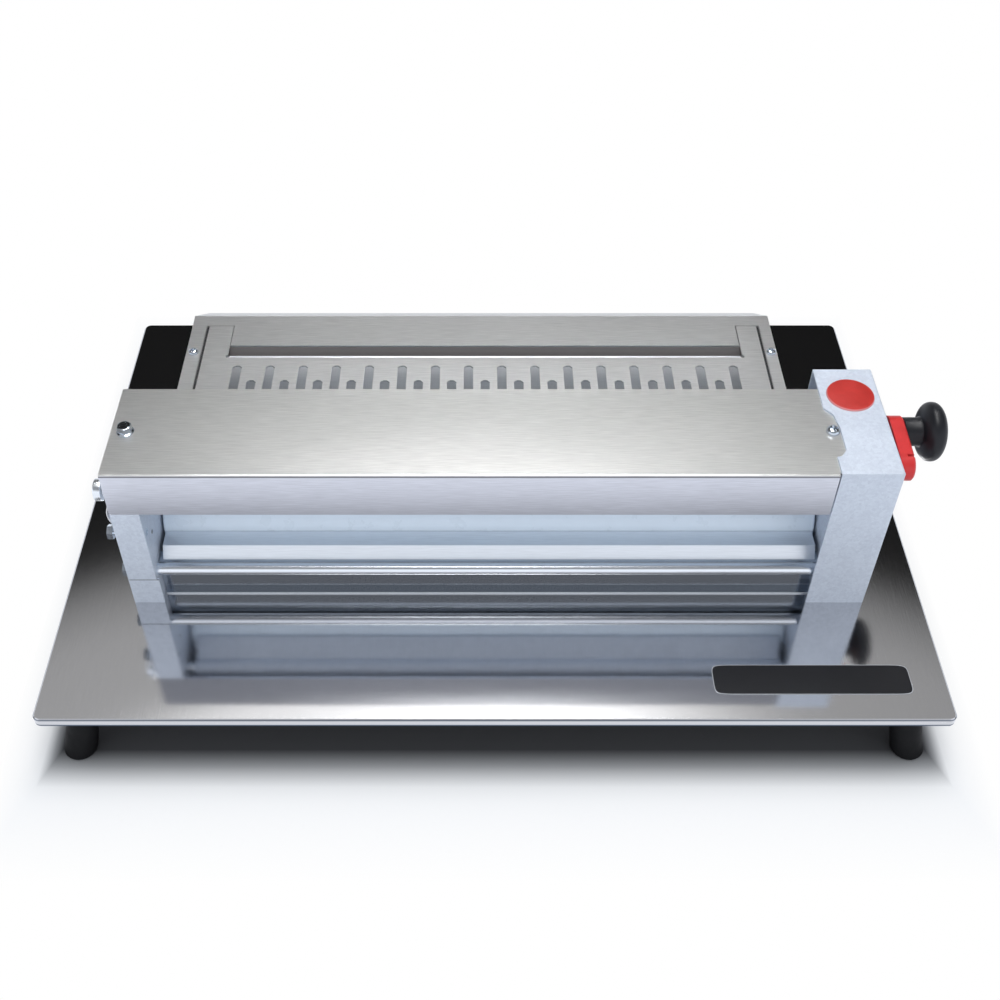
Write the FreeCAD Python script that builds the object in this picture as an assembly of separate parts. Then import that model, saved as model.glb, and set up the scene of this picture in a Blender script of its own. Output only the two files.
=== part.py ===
import FreeCAD, Part

import math
import os

# Table-top pizza dough roller with one pair of rollers, in millimetres.
# X runs left to right, Y runs from the front to the back, Z is up.
# The origin is on the bench, under the middle of the worktop.

# Worktop and feet
worktop_length = 560.0
worktop_depth = 385.0
worktop_edge = 6.0
worktop_sheet = 2.0
worktop_corner_radius = 5.0
worktop_edge_bevel = 1.0
foot_height = 45.0
foot_top_radius = 9.3
foot_bottom_radius = 10.3
foot_splay = 14.0
foot_inset_x = 28.7
foot_inset_y = 14.0

# Roller module, placed on the worktop
module_front_y = -100.5
frame_gap = 426.0
frame_gap_centre_x = -3.0
sheet = 1.5
hood_depth = 78.0
hood_front_drop = 33.0
frame_depth = 77.0
plate_thickness = 6.0
left_frame_width = 18.0
left_bracket_height = 22.5
left_bracket_step = 1.5
case_width = 37.5
case_overlap = 6.0
case_depth = 95.5
case_lobe_depth = 40.0
case_lobe_height = 60.0
case_edge_gap = 0.8
hood_tab_width = 9.0
hood_tab_length = 26.0
hood_tab_thickness = 4.0
bend_radius = 1.2
over = 1.0

# Rollers and their gears
roller_radius = 24.5
roller_end_gap = 1.5
roller_y = -45.0
lower_roller_height = 31.0
closed_roller_gap = 0.5
gap_travel = 4.5
roller_shaft_radius = 11.0
journal_radius = 7.5
bearing_clearance = 0.04
tooth_module = 3.5
roller_teeth = 14
pinion_teeth = 12
pressure_angle = 25.0
gear_addendum = 1.0
gear_dedendum = 1.25
tooth_backlash = 0.3
gear_width = 9.0
gear_plate_gap = 7.0
mesh_slack = 0.4
thread_radius = 5.0
gear_nut_across_flats = 15.0
gear_nut_height = 3.5
shaft_stub = 1.0
roller_chamfer = 1.0
bush_wall = 4.5

# Thickness setting
adjust_y = -81.0
adjust_drop = 10.7
adjust_shaft_radius = 5.0
cam_small_radius = 6.5
cam_width = 4.0
cam_clearance = 0.3
setting_angle = 60.0
lever_radius = 29.5
lever_rest_angle = 2.0
lever_thickness = 9.0
lever_case_gap = 1.5
lever_hub_radius = 9.0
lever_eye_radius = 10.0
lever_slit = 2.0
knob_radius = 18.5
knob_thickness = 14.6
knob_neck_radius = 9.0
knob_neck_length = 12.8
knob_band_width = 2.6
knob_rim_thickness = 6.1
knob_crown_radius = 15.9
knob_crown_thickness = 12.0
knob_flat_radius = 8.3
stud_radius = 2.5
stud_clearance = 0.08
knob_stud_depth = 9.0
clamp_nut_across_flats = 8.0
clamp_nut_height = 2.5
clamp_washer_radius = 5.5
clamp_gap = 0.2
lever_bore_floor = 2.0
lever_edge_bevel = 1.0
block_half_width = 15.0
block_half_height = 13.5
block_clearance = 0.2
block_arm_thickness = 7.0
block_arm_reach = 3.0
block_outer_width = 6.0
block_outer_lap = 2.5
block_side_clearance = 0.3
block_spring_radius = 2.8
block_spring_length = 13.0

# Scrapers
scraper_height = 35.0
scraper_thickness = 3.0
scraper_gap = 0.4
scraper_top_depth = 12.4
scraper_front_lean = 35.0
scraper_front_drop = 7.6
scraper_end_gap = 3.0
tie_rod_radius = 4.0
tie_rod_y = -93.5
tie_rod_height = 25.6
toe_clearance = 0.1
pivot_y = -86.0
pivot_radius = 4.0
pivot_collar_radius = 7.0
pivot_collar_length = 5.0
pivot_stub_length = 10.0
blade_contact_angle = 20.0
blade_thickness = 2.0
blade_hub_radius = 6.5
blade_shaft_gap = 4.6
torsion_wire = 1.6
torsion_quarters = 3
torsion_pitch = 2.1
torsion_wall_gap = 0.3
torsion_clearance = 0.5
torsion_hook_gap = 0.4
anchor_height = 62.0
side_bolt_depth = 12.0
toe_flange_depth = 9.4
toe_end_gap = 0.3
blade_end_gap = 6.0

# Rear guard and infeed
guard_left_gap = 15.5
guard_right_gap = 25.0
guard_rear_y = 54.5
guard_wall_front_y = -19.0
guard_slope_length = 8.0
guard_slope_angle = 23.0
guard_sheet = 1.2
guard_front_y = -40.0
slit_inset_left = 10.5
slit_inset_right = 8.5
slit_width = 1.8
slit_rear_y = 44.0
infeed_inset_left = 27.5
infeed_inset_right = 23.0
infeed_front_y = 11.7
infeed_rear_y = 23.0
ear_gap = 0.4
slot_count = 16
slot_pitch = 21.3
slot_width = 6.0
slot_rear_y = 2.5
slot_front_y = -32.0
stagger_rear_y = -12.0
relief_radius = 1.4
lip_depth = 4.0
rail_width = 15.0
rail_drop = 14.0
rail_thickness = 2.0
guard_screw_y = 16.0
chute_sheet = 1.5
chute_end_y = -22.0
chute_end_height = 60.0
chute_lip_y = -31.0
chute_lip_height = 56.4
chute_spread = 6.0
chute_hem = 6.0
chute_cheek = 12.0

# Drive
motor_radius = 24.0
motor_length = 120.0
motor_behind_pinion = 12.0
gearbox_length = 54.0
gearbox_front = 19.0
gearbox_rear = 30.0
gearbox_half_height = 20.0
gearbox_edge_round = 3.0
gearbox_bore_depth = 8.0
motor_bell_length = 18.0
motor_bell_step = 3.0
pinion_shaft_radius = 6.0
wall_pass_gap = 0.5

# Fasteners
hood_screw_y = -62.0
hood_screw_left_inset = 9.0
hood_screw_right_inset = 3.9
hood_screw_radius = 2.0
hood_screw_length = 9.0
hex_across_flats = 8.0
hex_height = 4.0
flange_radius = 5.4
flange_height = 1.2
pan_radius = 4.2
pan_height = 3.2
cross_reach = 2.4
cross_half_width = 0.6
side_bolt_radius = 2.5
side_bolt_head = 4.2
side_bolt_head_height = 3.6
small_screw_radius = 1.6
small_head_radius = 3.2
small_head_height = 2.2
pass_clearance = 0.6
plug_radius = 15.0
plug_y = -30.5
plug_from_case_side = 18.7
plug_head = 1.2
plug_barrel_radius = 6.4
plug_barrel_length = 4.0
notch_front_y = -85.5
notch_rear_y = -41.8
notch_depth = 6.6
notch_radius = 6.0
notch_entry = 4.9
notch_exit = 2.6
notch_corner_radius = 2.4

# Places worked out from the sizes above
table_z = foot_height + worktop_edge
left_inner_x = frame_gap_centre_x - frame_gap / 2
right_inner_x = frame_gap_centre_x + frame_gap / 2
left_outer_x = left_inner_x - left_frame_width
left_plate_x = left_inner_x - plate_thickness
right_plate_x = right_inner_x + plate_thickness
case_left_x = right_inner_x - case_overlap
case_outer_x = case_left_x + case_width
frame_rear_y = module_front_y + frame_depth
case_rear_y = module_front_y + case_depth
lobe_rear_y = case_rear_y + case_lobe_depth
hood_rear_y = module_front_y + hood_depth
lobe_top_z = table_z + case_lobe_height
lower_z = table_z + lower_roller_height
open_roller_gap = closed_roller_gap + gap_travel
upper_z = lower_z + 2 * roller_radius + open_roller_gap
block_top_z = upper_z + block_half_height
block_bottom_z = upper_z - block_half_height
adjust_z = block_top_z + cam_clearance + cam_small_radius
hood_top_z = adjust_z + adjust_drop
frame_top_z = hood_top_z - sheet
case_top_z = hood_top_z + sheet
pivot_distance = adjust_shaft_radius + blade_hub_radius + blade_shaft_gap
pivot_z = adjust_z - math.sqrt(pivot_distance ** 2 - (adjust_y - pivot_y) ** 2)
torsion_reach = pivot_radius + torsion_clearance + torsion_wire
anchor_y = pivot_y - torsion_reach - torsion_hook_gap - side_bolt_radius
bush_radius = journal_radius + bush_wall
cam_rate = gap_travel / math.radians(setting_angle)
window_bottom_z = block_bottom_z - block_spring_length
window_top_z = block_top_z + block_clearance
arm_front_y = adjust_y + cam_rate - block_arm_reach
gear_start_x = right_plate_x + gear_plate_gap
gear_end_x = gear_start_x + gear_width
roller_left_x = left_inner_x + roller_end_gap
roller_right_x = right_inner_x - roller_end_gap
pinion_distance = tooth_module * (roller_teeth + pinion_teeth) / 2 + mesh_slack
pinion_y = roller_y + pinion_distance
lever_inner_x = case_outer_x + lever_case_gap
lever_outer_x = lever_inner_x + lever_thickness
knob_y = adjust_y + lever_radius * math.cos(math.radians(lever_rest_angle))
knob_z = adjust_z + lever_radius * math.sin(math.radians(lever_rest_angle))
clamp_nut_x = case_outer_x - sheet - clamp_gap - clamp_nut_height
guard_left_x = left_inner_x + guard_left_gap
guard_right_x = right_inner_x - guard_right_gap
infeed_left_x = guard_left_x + infeed_inset_left
infeed_right_x = guard_right_x - infeed_inset_right
guard_top_z = frame_top_z
guard_under_z = guard_top_z - guard_sheet
grille_left_x = guard_left_x + slit_inset_left
grille_right_x = guard_right_x - slit_inset_right


def vec(x, y, z):
    return FreeCAD.Vector(x, y, z)


def box(x0, x1, y0, y1, z0, z1):
    """A block between two corners."""
    return Part.makeBox(x1 - x0, y1 - y0, z1 - z0, vec(x0, y0, z0))


def rod_x(x0, x1, y, z, radius):
    """A cylinder along X from x0 to x1."""
    return Part.makeCylinder(radius, x1 - x0, vec(x0, y, z), vec(1, 0, 0))


def rod_z(x, y, z0, z1, radius):
    """An upright cylinder from z0 to z1."""
    return Part.makeCylinder(radius, z1 - z0, vec(x, y, z0), vec(0, 0, 1))


def polygon_x(points, x0, x1):
    """A closed outline of (y, z) points, extruded along X."""
    corners = [vec(x0, y, z) for y, z in points]
    face = Part.Face(Part.makePolygon(corners + corners[:1]))
    return face.extrude(vec(x1 - x0, 0, 0))


def polygon_z(points, z0, z1):
    """A closed outline of (x, y) points, extruded upwards."""
    corners = [vec(x, y, z0) for x, y in points]
    face = Part.Face(Part.makePolygon(corners + corners[:1]))
    return face.extrude(vec(0, 0, z1 - z0))


def revolve_x(profile, y, z):
    """A closed outline of (x, radius) points, turned about an axis along X at y, z."""
    corners = [vec(x, y, z + radius) for x, radius in profile]
    face = Part.Face(Part.makePolygon(corners + corners[:1]))
    return face.revolve(vec(0, y, z), vec(1, 0, 0), 360)


def revolve_z(profile, x, y):
    """A closed outline of (radius, z) points, turned about an upright axis at x, y."""
    corners = [vec(x + radius, y, z) for radius, z in profile]
    face = Part.Face(Part.makePolygon(corners + corners[:1]))
    return face.revolve(vec(x, y, 0), vec(0, 0, 1), 360)


def hexagon(across_flats, height, place, axis):
    """A hexagonal prism on a place, along an axis."""
    corner_radius = across_flats / math.sqrt(3)
    corners = []
    for k in range(6):
        angle = math.radians(60 * k)
        corners.append(vec(corner_radius * math.cos(angle), corner_radius * math.sin(angle), 0))
    prism = Part.Face(Part.makePolygon(corners + corners[:1])).extrude(vec(0, 0, height))
    prism.Placement = FreeCAD.Placement(place, FreeCAD.Rotation(vec(0, 0, 1), axis))
    return prism


def slot_z(x, y0, y1, width, z0, z1):
    """A slot cutter that runs along Y, each of its round ends made of three flats."""
    half = width / 2
    corner = half * (2 - math.sqrt(2))
    points = []
    for end, other in ((y0, y1), (y1, y0)):
        inwards = math.copysign(corner, other - end)
        side = math.copysign(1, other - end)
        points += [(x - side * half, end + inwards), (x - side * (half - corner), end),
                   (x + side * (half - corner), end), (x + side * half, end + inwards)]
    return polygon_z(points, z0, z1)


def bent_sheet(points, thickness, x0, x1):
    """A folded sheet: a line of (y, z) points, thickened to its right and extruded along X."""
    offset = []
    for k, (y, z) in enumerate(points):
        normals = []
        for a, b in ((k - 1, k), (k, k + 1)):
            if a >= 0 and b < len(points):
                run_y = points[b][0] - points[a][0]
                run_z = points[b][1] - points[a][1]
                length = math.hypot(run_y, run_z)
                normals.append((run_z / length, -run_y / length))
        n_y = sum(n[0] for n in normals) / len(normals)
        n_z = sum(n[1] for n in normals) / len(normals)
        square = n_y * n_y + n_z * n_z
        offset.append((y + thickness * n_y / square, z + thickness * n_z / square))
    return polygon_x(points + offset[::-1], x0, x1)


def bolt_x(face_x, side, y, z, length, head_gap=0.0):
    """A hexagon bolt whose shank points away from its head; side is the head's direction."""
    head_x = face_x + side * head_gap
    ends = sorted([head_x, face_x - side * length])
    shank = rod_x(ends[0], ends[1], y, z, side_bolt_radius)
    head = hexagon(2 * side_bolt_head, side_bolt_head_height, vec(head_x, y, z), vec(side, 0, 0))
    return shank.fuse(head).removeSplitter()


def group(solids):
    """Separate solids that share one node."""
    return Part.makeCompound(solids)


def worktop():
    """A folded stainless tray, upside down: a sheet with a turned-down edge."""
    half_x = worktop_length / 2
    half_y = worktop_depth / 2
    tray = box(-half_x, half_x, -half_y, half_y, foot_height, table_z)
    uprights = [e for e in tray.Edges if abs(e.BoundBox.ZLength - worktop_edge) < 0.01]
    tray = tray.makeFillet(worktop_corner_radius, uprights)
    top_edges = [e for e in tray.Edges if e.BoundBox.ZMin > table_z - 0.01]
    tray = tray.makeChamfer(worktop_edge_bevel, top_edges)
    rim = worktop_sheet
    hollow = box(-half_x + rim, half_x - rim, -half_y + rim, half_y - rim,
                 foot_height - over, table_z - worktop_sheet)
    corners = [e for e in hollow.Edges if e.BoundBox.ZLength > worktop_edge - worktop_sheet]
    return tray.cut(hollow.makeFillet(worktop_corner_radius - rim, corners))


def foot_places():
    """The middle of each foot's top and the side that it leans to."""
    x = worktop_length / 2 - foot_inset_x
    y = worktop_depth / 2 - foot_inset_y
    return [(-x, -y, -1), (x, -y, 1), (-x, y, -1), (x, y, 1)]


def foot(x, y, side):
    """A black rubber foot: a cone that leans outwards, cut level at its top and bottom."""
    top = table_z - worktop_sheet
    lean = math.radians(foot_splay)
    spare = 2 * foot_bottom_radius
    axis = vec(side * math.sin(lean), 0, -math.cos(lean))
    start = vec(x, y, top) - axis * spare
    growth = (foot_bottom_radius - foot_top_radius) / top
    length = top / math.cos(lean) + 2 * spare
    cone = Part.makeCone(foot_top_radius - growth * spare,
                         foot_top_radius + growth * (length - spare), length, start, axis)
    reach = 4 * foot_bottom_radius
    return cone.common(box(x - reach, x + reach, y - reach, y + reach, 0, top))


def plate_bores(plate, x0, x1):
    """Cuts what both side plates have: block window, bush bore, shaft bores and the bolt's bore."""
    half = block_half_width + block_clearance
    window = box(x0, x1, roller_y - half, roller_y + half, window_bottom_z, window_top_z)
    cutters = [
        window,
        rod_x(x0, x1, roller_y, lower_z, bush_radius),
        rod_x(x0, x1, adjust_y, adjust_z, adjust_shaft_radius + bearing_clearance),
        rod_x(x0, x1, pivot_y, pivot_z, pivot_radius + bearing_clearance),
        rod_x(x0, x1, tie_rod_y, table_z + tie_rod_height, side_bolt_radius),
    ]
    for cutter in cutters:
        plate = plate.cut(cutter)
    return plate


def left_bearing_plate():
    """The steel plate that carries the left ends of the rollers and shafts."""
    plate = box(left_plate_x, left_inner_x, module_front_y + sheet, frame_rear_y - sheet,
                table_z, frame_top_z)
    plate = plate_bores(plate, left_plate_x - over, left_inner_x + over)
    anchor = rod_x(left_plate_x - over, left_inner_x + over, anchor_y, table_z + anchor_height,
                   side_bolt_radius)
    return plate.cut(anchor)


def left_casing():
    """The folded cover outside the left plate: front, side, rear and a top flange."""
    bottom = table_z + left_bracket_height
    outer = box(left_outer_x, left_inner_x, module_front_y, frame_rear_y, bottom, frame_top_z)
    inside = box(left_outer_x + sheet, left_inner_x + over, module_front_y + sheet,
                 frame_rear_y - sheet, bottom - over, frame_top_z - sheet)
    plate_room = box(left_plate_x, left_inner_x + over, module_front_y + sheet,
                     frame_rear_y - sheet, bottom - over, frame_top_z + over)
    lip_room = box(left_outer_x, left_inner_x, module_front_y, module_front_y + sheet,
                   hood_top_z - hood_front_drop, frame_top_z)
    casing = outer.cut(inside).cut(plate_room).cut(lip_room)
    screw_x = left_outer_x + hood_screw_left_inset
    cutters = [
        rod_z(screw_x, hood_screw_y, frame_top_z - hood_screw_length, frame_top_z + over,
              hood_screw_radius),
        rod_x(left_outer_x - over, left_outer_x + sheet + over, pivot_y, pivot_z,
              pivot_radius + pass_clearance),
        rod_x(left_outer_x - over, left_outer_x + sheet + over, anchor_y, table_z + anchor_height,
              side_bolt_radius),
        rod_x(left_outer_x - over, left_outer_x + sheet + over, tie_rod_y, table_z + tie_rod_height,
              side_bolt_radius),
    ]
    for cutter in cutters:
        casing = casing.cut(cutter)
    return casing


def left_foot_bracket():
    """The folded galvanised bracket under the left casing: front, side and a foot flange."""
    top = table_z + left_bracket_height
    right = left_inner_x + left_bracket_step
    front = box(left_outer_x, right, module_front_y, module_front_y + sheet, table_z, top)
    side = box(left_outer_x, left_outer_x + sheet, module_front_y, frame_rear_y, table_z, top)
    flange = box(left_outer_x, left_plate_x, module_front_y, frame_rear_y, table_z,
                 table_z + sheet)
    return front.fuse([side, flange]).removeSplitter()


def case_outline(inset):
    """The gear case seen from the side, as (y, z) points: a tall front and a low rear lobe."""
    front = module_front_y + inset
    rear = case_rear_y - inset
    lobe_rear = lobe_rear_y - inset
    bottom = table_z - inset
    return [(front, bottom), (front, case_top_z - inset), (rear, case_top_z - inset),
            (rear, lobe_top_z - inset), (lobe_rear, lobe_top_z - inset), (lobe_rear, bottom)]


def right_side_plate():
    """The steel plate between the rollers and the gears, with the hood's tab at its top."""
    plate = polygon_x(case_outline(sheet), right_inner_x, right_plate_x)
    below = box(right_inner_x - over, right_plate_x + over, module_front_y, lobe_rear_y,
                table_z - 2 * sheet, table_z)
    hood_room = box(right_inner_x - over, right_plate_x + over, module_front_y,
                    hood_rear_y + case_edge_gap, frame_top_z, case_top_z)
    plate = plate.cut(below).cut(hood_room)
    tab = box(right_inner_x - hood_tab_width, right_inner_x, hood_screw_y - hood_tab_length / 2,
              hood_screw_y + hood_tab_length / 2, frame_top_z - hood_tab_thickness, frame_top_z)
    plate = plate.fuse(tab).removeSplitter()
    plate = plate_bores(plate, right_inner_x - over, right_plate_x + over)
    screw_x = right_inner_x - hood_screw_right_inset
    plate = plate.cut(rod_z(screw_x, hood_screw_y, frame_top_z - hood_screw_length,
                            frame_top_z + over, hood_screw_radius))
    shaft_hole = rod_x(right_inner_x - over, right_plate_x + over, pinion_y, lower_z,
                       pinion_shaft_radius + pass_clearance)
    return plate.cut(shaft_hole)


def case_notch():
    """The cutter for the rounded notch in the case's top, which clears the hood's right screw."""
    deep = case_left_x + notch_depth
    wall = case_left_x - over
    points = [(wall, notch_rear_y), (case_left_x, notch_rear_y),
              (case_left_x + notch_entry, notch_rear_y - notch_radius),
              (deep, notch_rear_y - 3 * notch_radius), (deep, notch_front_y + notch_radius),
              (case_left_x + notch_exit, notch_front_y), (wall, notch_front_y)]
    cutter = polygon_z(points, hood_top_z - sheet / 2, case_top_z + over)
    rounded = []
    for edge in cutter.Edges:
        x = edge.BoundBox.XMin
        if edge.BoundBox.ZLength > sheet and x > case_left_x + notch_exit / 2:
            rounded.append(edge)
    return cutter.makeFillet(notch_corner_radius, rounded)


def gear_case_cover():
    """The folded galvanised cover over the gears, open to the side plate and the worktop."""
    outer = polygon_x(case_outline(0), case_left_x, case_outer_x)
    side_edges = [e for e in outer.Edges
                  if e.BoundBox.XMin > case_outer_x - 0.01 and e.BoundBox.ZMax > table_z + 0.01]
    outer = outer.makeFillet(bend_radius, side_edges)
    inside = polygon_x(case_outline(sheet), case_left_x - over, case_outer_x - sheet)
    cover = outer.cut(inside).cut(case_notch())
    wall0 = case_outer_x - sheet - over
    wall1 = case_outer_x + over
    cover = cover.cut(rod_x(wall0, wall1, adjust_y, adjust_z,
                            adjust_shaft_radius + pass_clearance))
    cover = cover.cut(arc_slot(wall0, wall1))
    plug = rod_z(case_outer_x - plug_from_case_side, plug_y, hood_top_z - over, case_top_z + over,
                 plug_barrel_radius)
    return cover.cut(plug)


def case_plug():
    """The round red plastic plug in the top of the gear case: a bevelled head on a barrel."""
    x = case_outer_x - plug_from_case_side
    top = case_top_z + plug_head
    profile = [(0, top), (plug_radius - plug_head, top), (plug_radius, case_top_z),
               (plug_barrel_radius, case_top_z),
               (plug_barrel_radius, case_top_z - plug_barrel_length),
               (0, case_top_z - plug_barrel_length)]
    return revolve_z(profile, x, plug_y)


def hood():
    """The folded stainless hood: a top sheet with a front lip and a tongue under the gear case."""
    lip_right = case_left_x - case_edge_gap
    lip_bottom = hood_top_z - hood_front_drop
    outer = box(left_outer_x, lip_right, module_front_y, hood_rear_y, lip_bottom, hood_top_z)
    fold = [e for e in outer.Edges
            if e.BoundBox.YMax < module_front_y + 0.01 and e.BoundBox.ZMin > hood_top_z - 0.01]
    outer = outer.makeFillet(bend_radius, fold)
    inside = box(left_outer_x - over, lip_right + over, module_front_y + sheet, hood_rear_y + over,
                 lip_bottom - over, frame_top_z)
    tongue = box(lip_right - over, right_plate_x, module_front_y + sheet + case_edge_gap, hood_rear_y,
                 frame_top_z, hood_top_z)
    shell = outer.cut(inside).fuse(tongue).removeSplitter()
    for x in hood_screw_places():
        shell = shell.cut(rod_z(x, hood_screw_y, frame_top_z - over, hood_top_z + over,
                                hood_screw_radius))
    return shell


def hood_screw_places():
    """The X of the hood's left and right screws."""
    return [left_outer_x + hood_screw_left_inset, right_inner_x - hood_screw_right_inset]


def hood_screw_left():
    """The hood's left screw: a hexagon head with a round flange."""
    x = hood_screw_places()[0]
    shank = rod_z(x, hood_screw_y, hood_top_z - hood_screw_length, hood_top_z, hood_screw_radius)
    flange = rod_z(x, hood_screw_y, hood_top_z, hood_top_z + flange_height, flange_radius)
    head = hexagon(hex_across_flats, hex_height, vec(x, hood_screw_y, hood_top_z + flange_height),
                   vec(0, 0, 1))
    return shank.fuse([flange, head]).removeSplitter()


def hood_screw_right():
    """The hood's right screw: a pan head with a cross recess."""
    x = hood_screw_places()[1]
    top = hood_top_z + pan_height
    profile = [(0, hood_top_z - hood_screw_length), (hood_screw_radius,
               hood_top_z - hood_screw_length), (hood_screw_radius, hood_top_z),
               (pan_radius, hood_top_z), (pan_radius, top), (0, top)]
    screw = revolve_z(profile, x, hood_screw_y)
    arm = cross_reach
    wide = cross_half_width
    deep = top - pan_height / 2
    across = box(x - arm, x + arm, hood_screw_y - wide, hood_screw_y + wide, deep, top + over)
    along = box(x - wide, x + wide, hood_screw_y - arm, hood_screw_y + arm, deep, top + over)
    return screw.cut(across.fuse(along))


def involute(base, radius):
    """How far an involute has turned when it reaches a radius."""
    angle = math.acos(min(1.0, base / radius))
    return math.tan(angle) - angle


def gear_x(teeth, x0, x1, y, z, bore, first_tooth):
    """A spur gear with involute flanks on an axis along X; first_tooth is a tooth's angle."""
    pitch = tooth_module * teeth / 2
    base = pitch * math.cos(math.radians(pressure_angle))
    tip = pitch + gear_addendum * tooth_module
    root = pitch - gear_dedendum * tooth_module
    start = max(base, root)
    half = math.pi / (2 * teeth) - tooth_backlash / (2 * pitch) + involute(base, pitch)
    flank = [(root, half)]
    for radius in (start, pitch, tip):
        flank.append((radius, half - involute(base, radius)))
    points = []
    for k in range(teeth):
        middle = math.radians(first_tooth) + 2 * math.pi * k / teeth
        rise = [(radius, middle - turn) for radius, turn in flank]
        fall = [(radius, middle + turn) for radius, turn in flank[::-1]]
        for radius, angle in rise + fall:
            points.append((y + radius * math.cos(angle), z + radius * math.sin(angle)))
    return polygon_x(points, x0, x1).cut(rod_x(x0 - over, x1 + over, y, z, bore))


def roller_sleeve(z):
    """A white food-plastic roller with chamfered ends, bored for its shaft."""
    inner = roller_radius - roller_chamfer
    profile = [(roller_left_x, roller_shaft_radius), (roller_left_x, inner),
               (roller_left_x + roller_chamfer, roller_radius),
               (roller_right_x - roller_chamfer, roller_radius), (roller_right_x, inner),
               (roller_right_x, roller_shaft_radius)]
    return revolve_x(profile, roller_y, z)


def roller_shaft(z):
    """A turned shaft: a thick middle, two journals and a threaded right end."""
    left = left_plate_x - block_outer_width - shaft_stub
    right = gear_end_x + gear_nut_height
    profile = [(left, 0), (left, journal_radius), (roller_left_x, journal_radius),
               (roller_left_x, roller_shaft_radius), (roller_right_x, roller_shaft_radius),
               (roller_right_x, journal_radius), (gear_end_x, journal_radius),
               (gear_end_x, thread_radius), (right, thread_radius), (right, 0)]
    return revolve_x(profile, roller_y, z)


def gear_nut(z):
    """The hexagon nut that holds a roller's gear."""
    nut = hexagon(gear_nut_across_flats, gear_nut_height, vec(gear_end_x, roller_y, z),
                  vec(1, 0, 0))
    return nut.cut(rod_x(gear_end_x - over, gear_end_x + gear_nut_height + over, roller_y, z,
                         thread_radius))


def lower_gear():
    """The lower roller's gear, with a tooth that points straight up."""
    return gear_x(roller_teeth, gear_start_x, gear_end_x, roller_y, lower_z, journal_radius, 90)


def upper_gear():
    """The upper roller's gear, with a gap that points straight down."""
    return gear_x(roller_teeth, gear_start_x, gear_end_x, roller_y, upper_z, journal_radius,
                  -90 + 180 / roller_teeth)


def lower_bush(plate_inner_x, plate_outer_x):
    """A plain bronze bush in a side plate for the lower roller's journal."""
    ends = sorted([plate_inner_x, plate_outer_x])
    tube = rod_x(ends[0], ends[1], roller_y, lower_z, bush_radius)
    return tube.cut(rod_x(ends[0] - over, ends[1] + over, roller_y, lower_z,
                          journal_radius + bearing_clearance))


def bearing_block(plate_inner_x, plate_outer_x):
    """A sliding bronze block for the upper roller, with a pad that reaches under the cam."""
    side = 1 if plate_outer_x > plate_inner_x else -1
    shoulder_x = plate_outer_x + side * block_side_clearance
    outer_x = plate_outer_x + side * block_outer_width
    body_ends = sorted([plate_inner_x, outer_x])
    outer_ends = sorted([shoulder_x, outer_x])
    lap = block_half_width + block_outer_lap
    body = box(body_ends[0], body_ends[1], roller_y - block_half_width,
               roller_y + block_half_width, block_bottom_z, block_top_z)
    shoulders = box(outer_ends[0], outer_ends[1], roller_y - lap, roller_y + lap,
                    block_bottom_z, block_top_z)
    pad = box(outer_ends[0], outer_ends[1], arm_front_y, roller_y, block_top_z -
              block_arm_thickness, block_top_z)
    block = body.fuse([shoulders, pad]).removeSplitter()
    return block.cut(rod_x(body_ends[0] - over, body_ends[1] + over, roller_y, upper_z,
                           journal_radius + bearing_clearance))


def block_springs():
    """Two polyurethane springs under the bearing blocks, one in each plate's window."""
    middles = [(left_inner_x + left_plate_x) / 2, (right_inner_x + right_plate_x) / 2]
    return group([rod_z(x, roller_y, window_bottom_z, block_bottom_z, block_spring_radius)
                  for x in middles])


def cam(x0, x1):
    """The cam that presses a bearing block down, at the same rate all along its turn."""
    steep = cam_rate
    small = cam_small_radius

    def edge_point(turn):
        support = small + steep * turn
        angle = turn - math.pi / 2
        return vec(x0, adjust_y + support * math.cos(angle) - steep * math.sin(angle),
                   adjust_z + support * math.sin(angle) + steep * math.cos(angle))

    full_turn = math.radians(setting_angle)
    points = [edge_point(full_turn * k / 6) for k in range(7)]
    nose_y = points[-1].y - adjust_y
    nose_z = points[-1].z - adjust_z
    nose = math.hypot(nose_y, nose_z)
    touch = math.atan2(nose_z, nose_y) + math.acos(small / nose)
    middle = (touch + 1.5 * math.pi) / 2

    def round_point(angle):
        return vec(x0, adjust_y + small * math.cos(angle), adjust_z + small * math.sin(angle))

    curve = Part.BSplineCurve()
    curve.interpolate(points)
    bottom = round_point(1.5 * math.pi)
    edges = [curve.toShape(),
             Part.LineSegment(points[-1], round_point(touch)).toShape(),
             Part.Arc(round_point(touch), round_point(middle), bottom).toShape(),
             Part.LineSegment(bottom, points[0]).toShape()]
    body = Part.Face(Part.Wire(edges)).extrude(vec(x1 - x0, 0, 0))
    return body.cut(rod_x(x0 - over, x1 + over, adjust_y, adjust_z, adjust_shaft_radius))


def cam_ends():
    """The X ends of the left and right cams, in the middle of the blocks' pads."""
    reach = (block_outer_width + block_side_clearance) / 2
    left = left_plate_x - reach
    right = right_plate_x + reach
    half = cam_width / 2
    return [(left - half, left + half), (right - half, right + half)]


def adjust_shaft():
    """The adjusting shaft across the machine, from the left cam into the lever."""
    left = left_plate_x - block_outer_width
    return rod_x(left, lever_outer_x - lever_bore_floor, adjust_y, adjust_z, adjust_shaft_radius)


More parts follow.
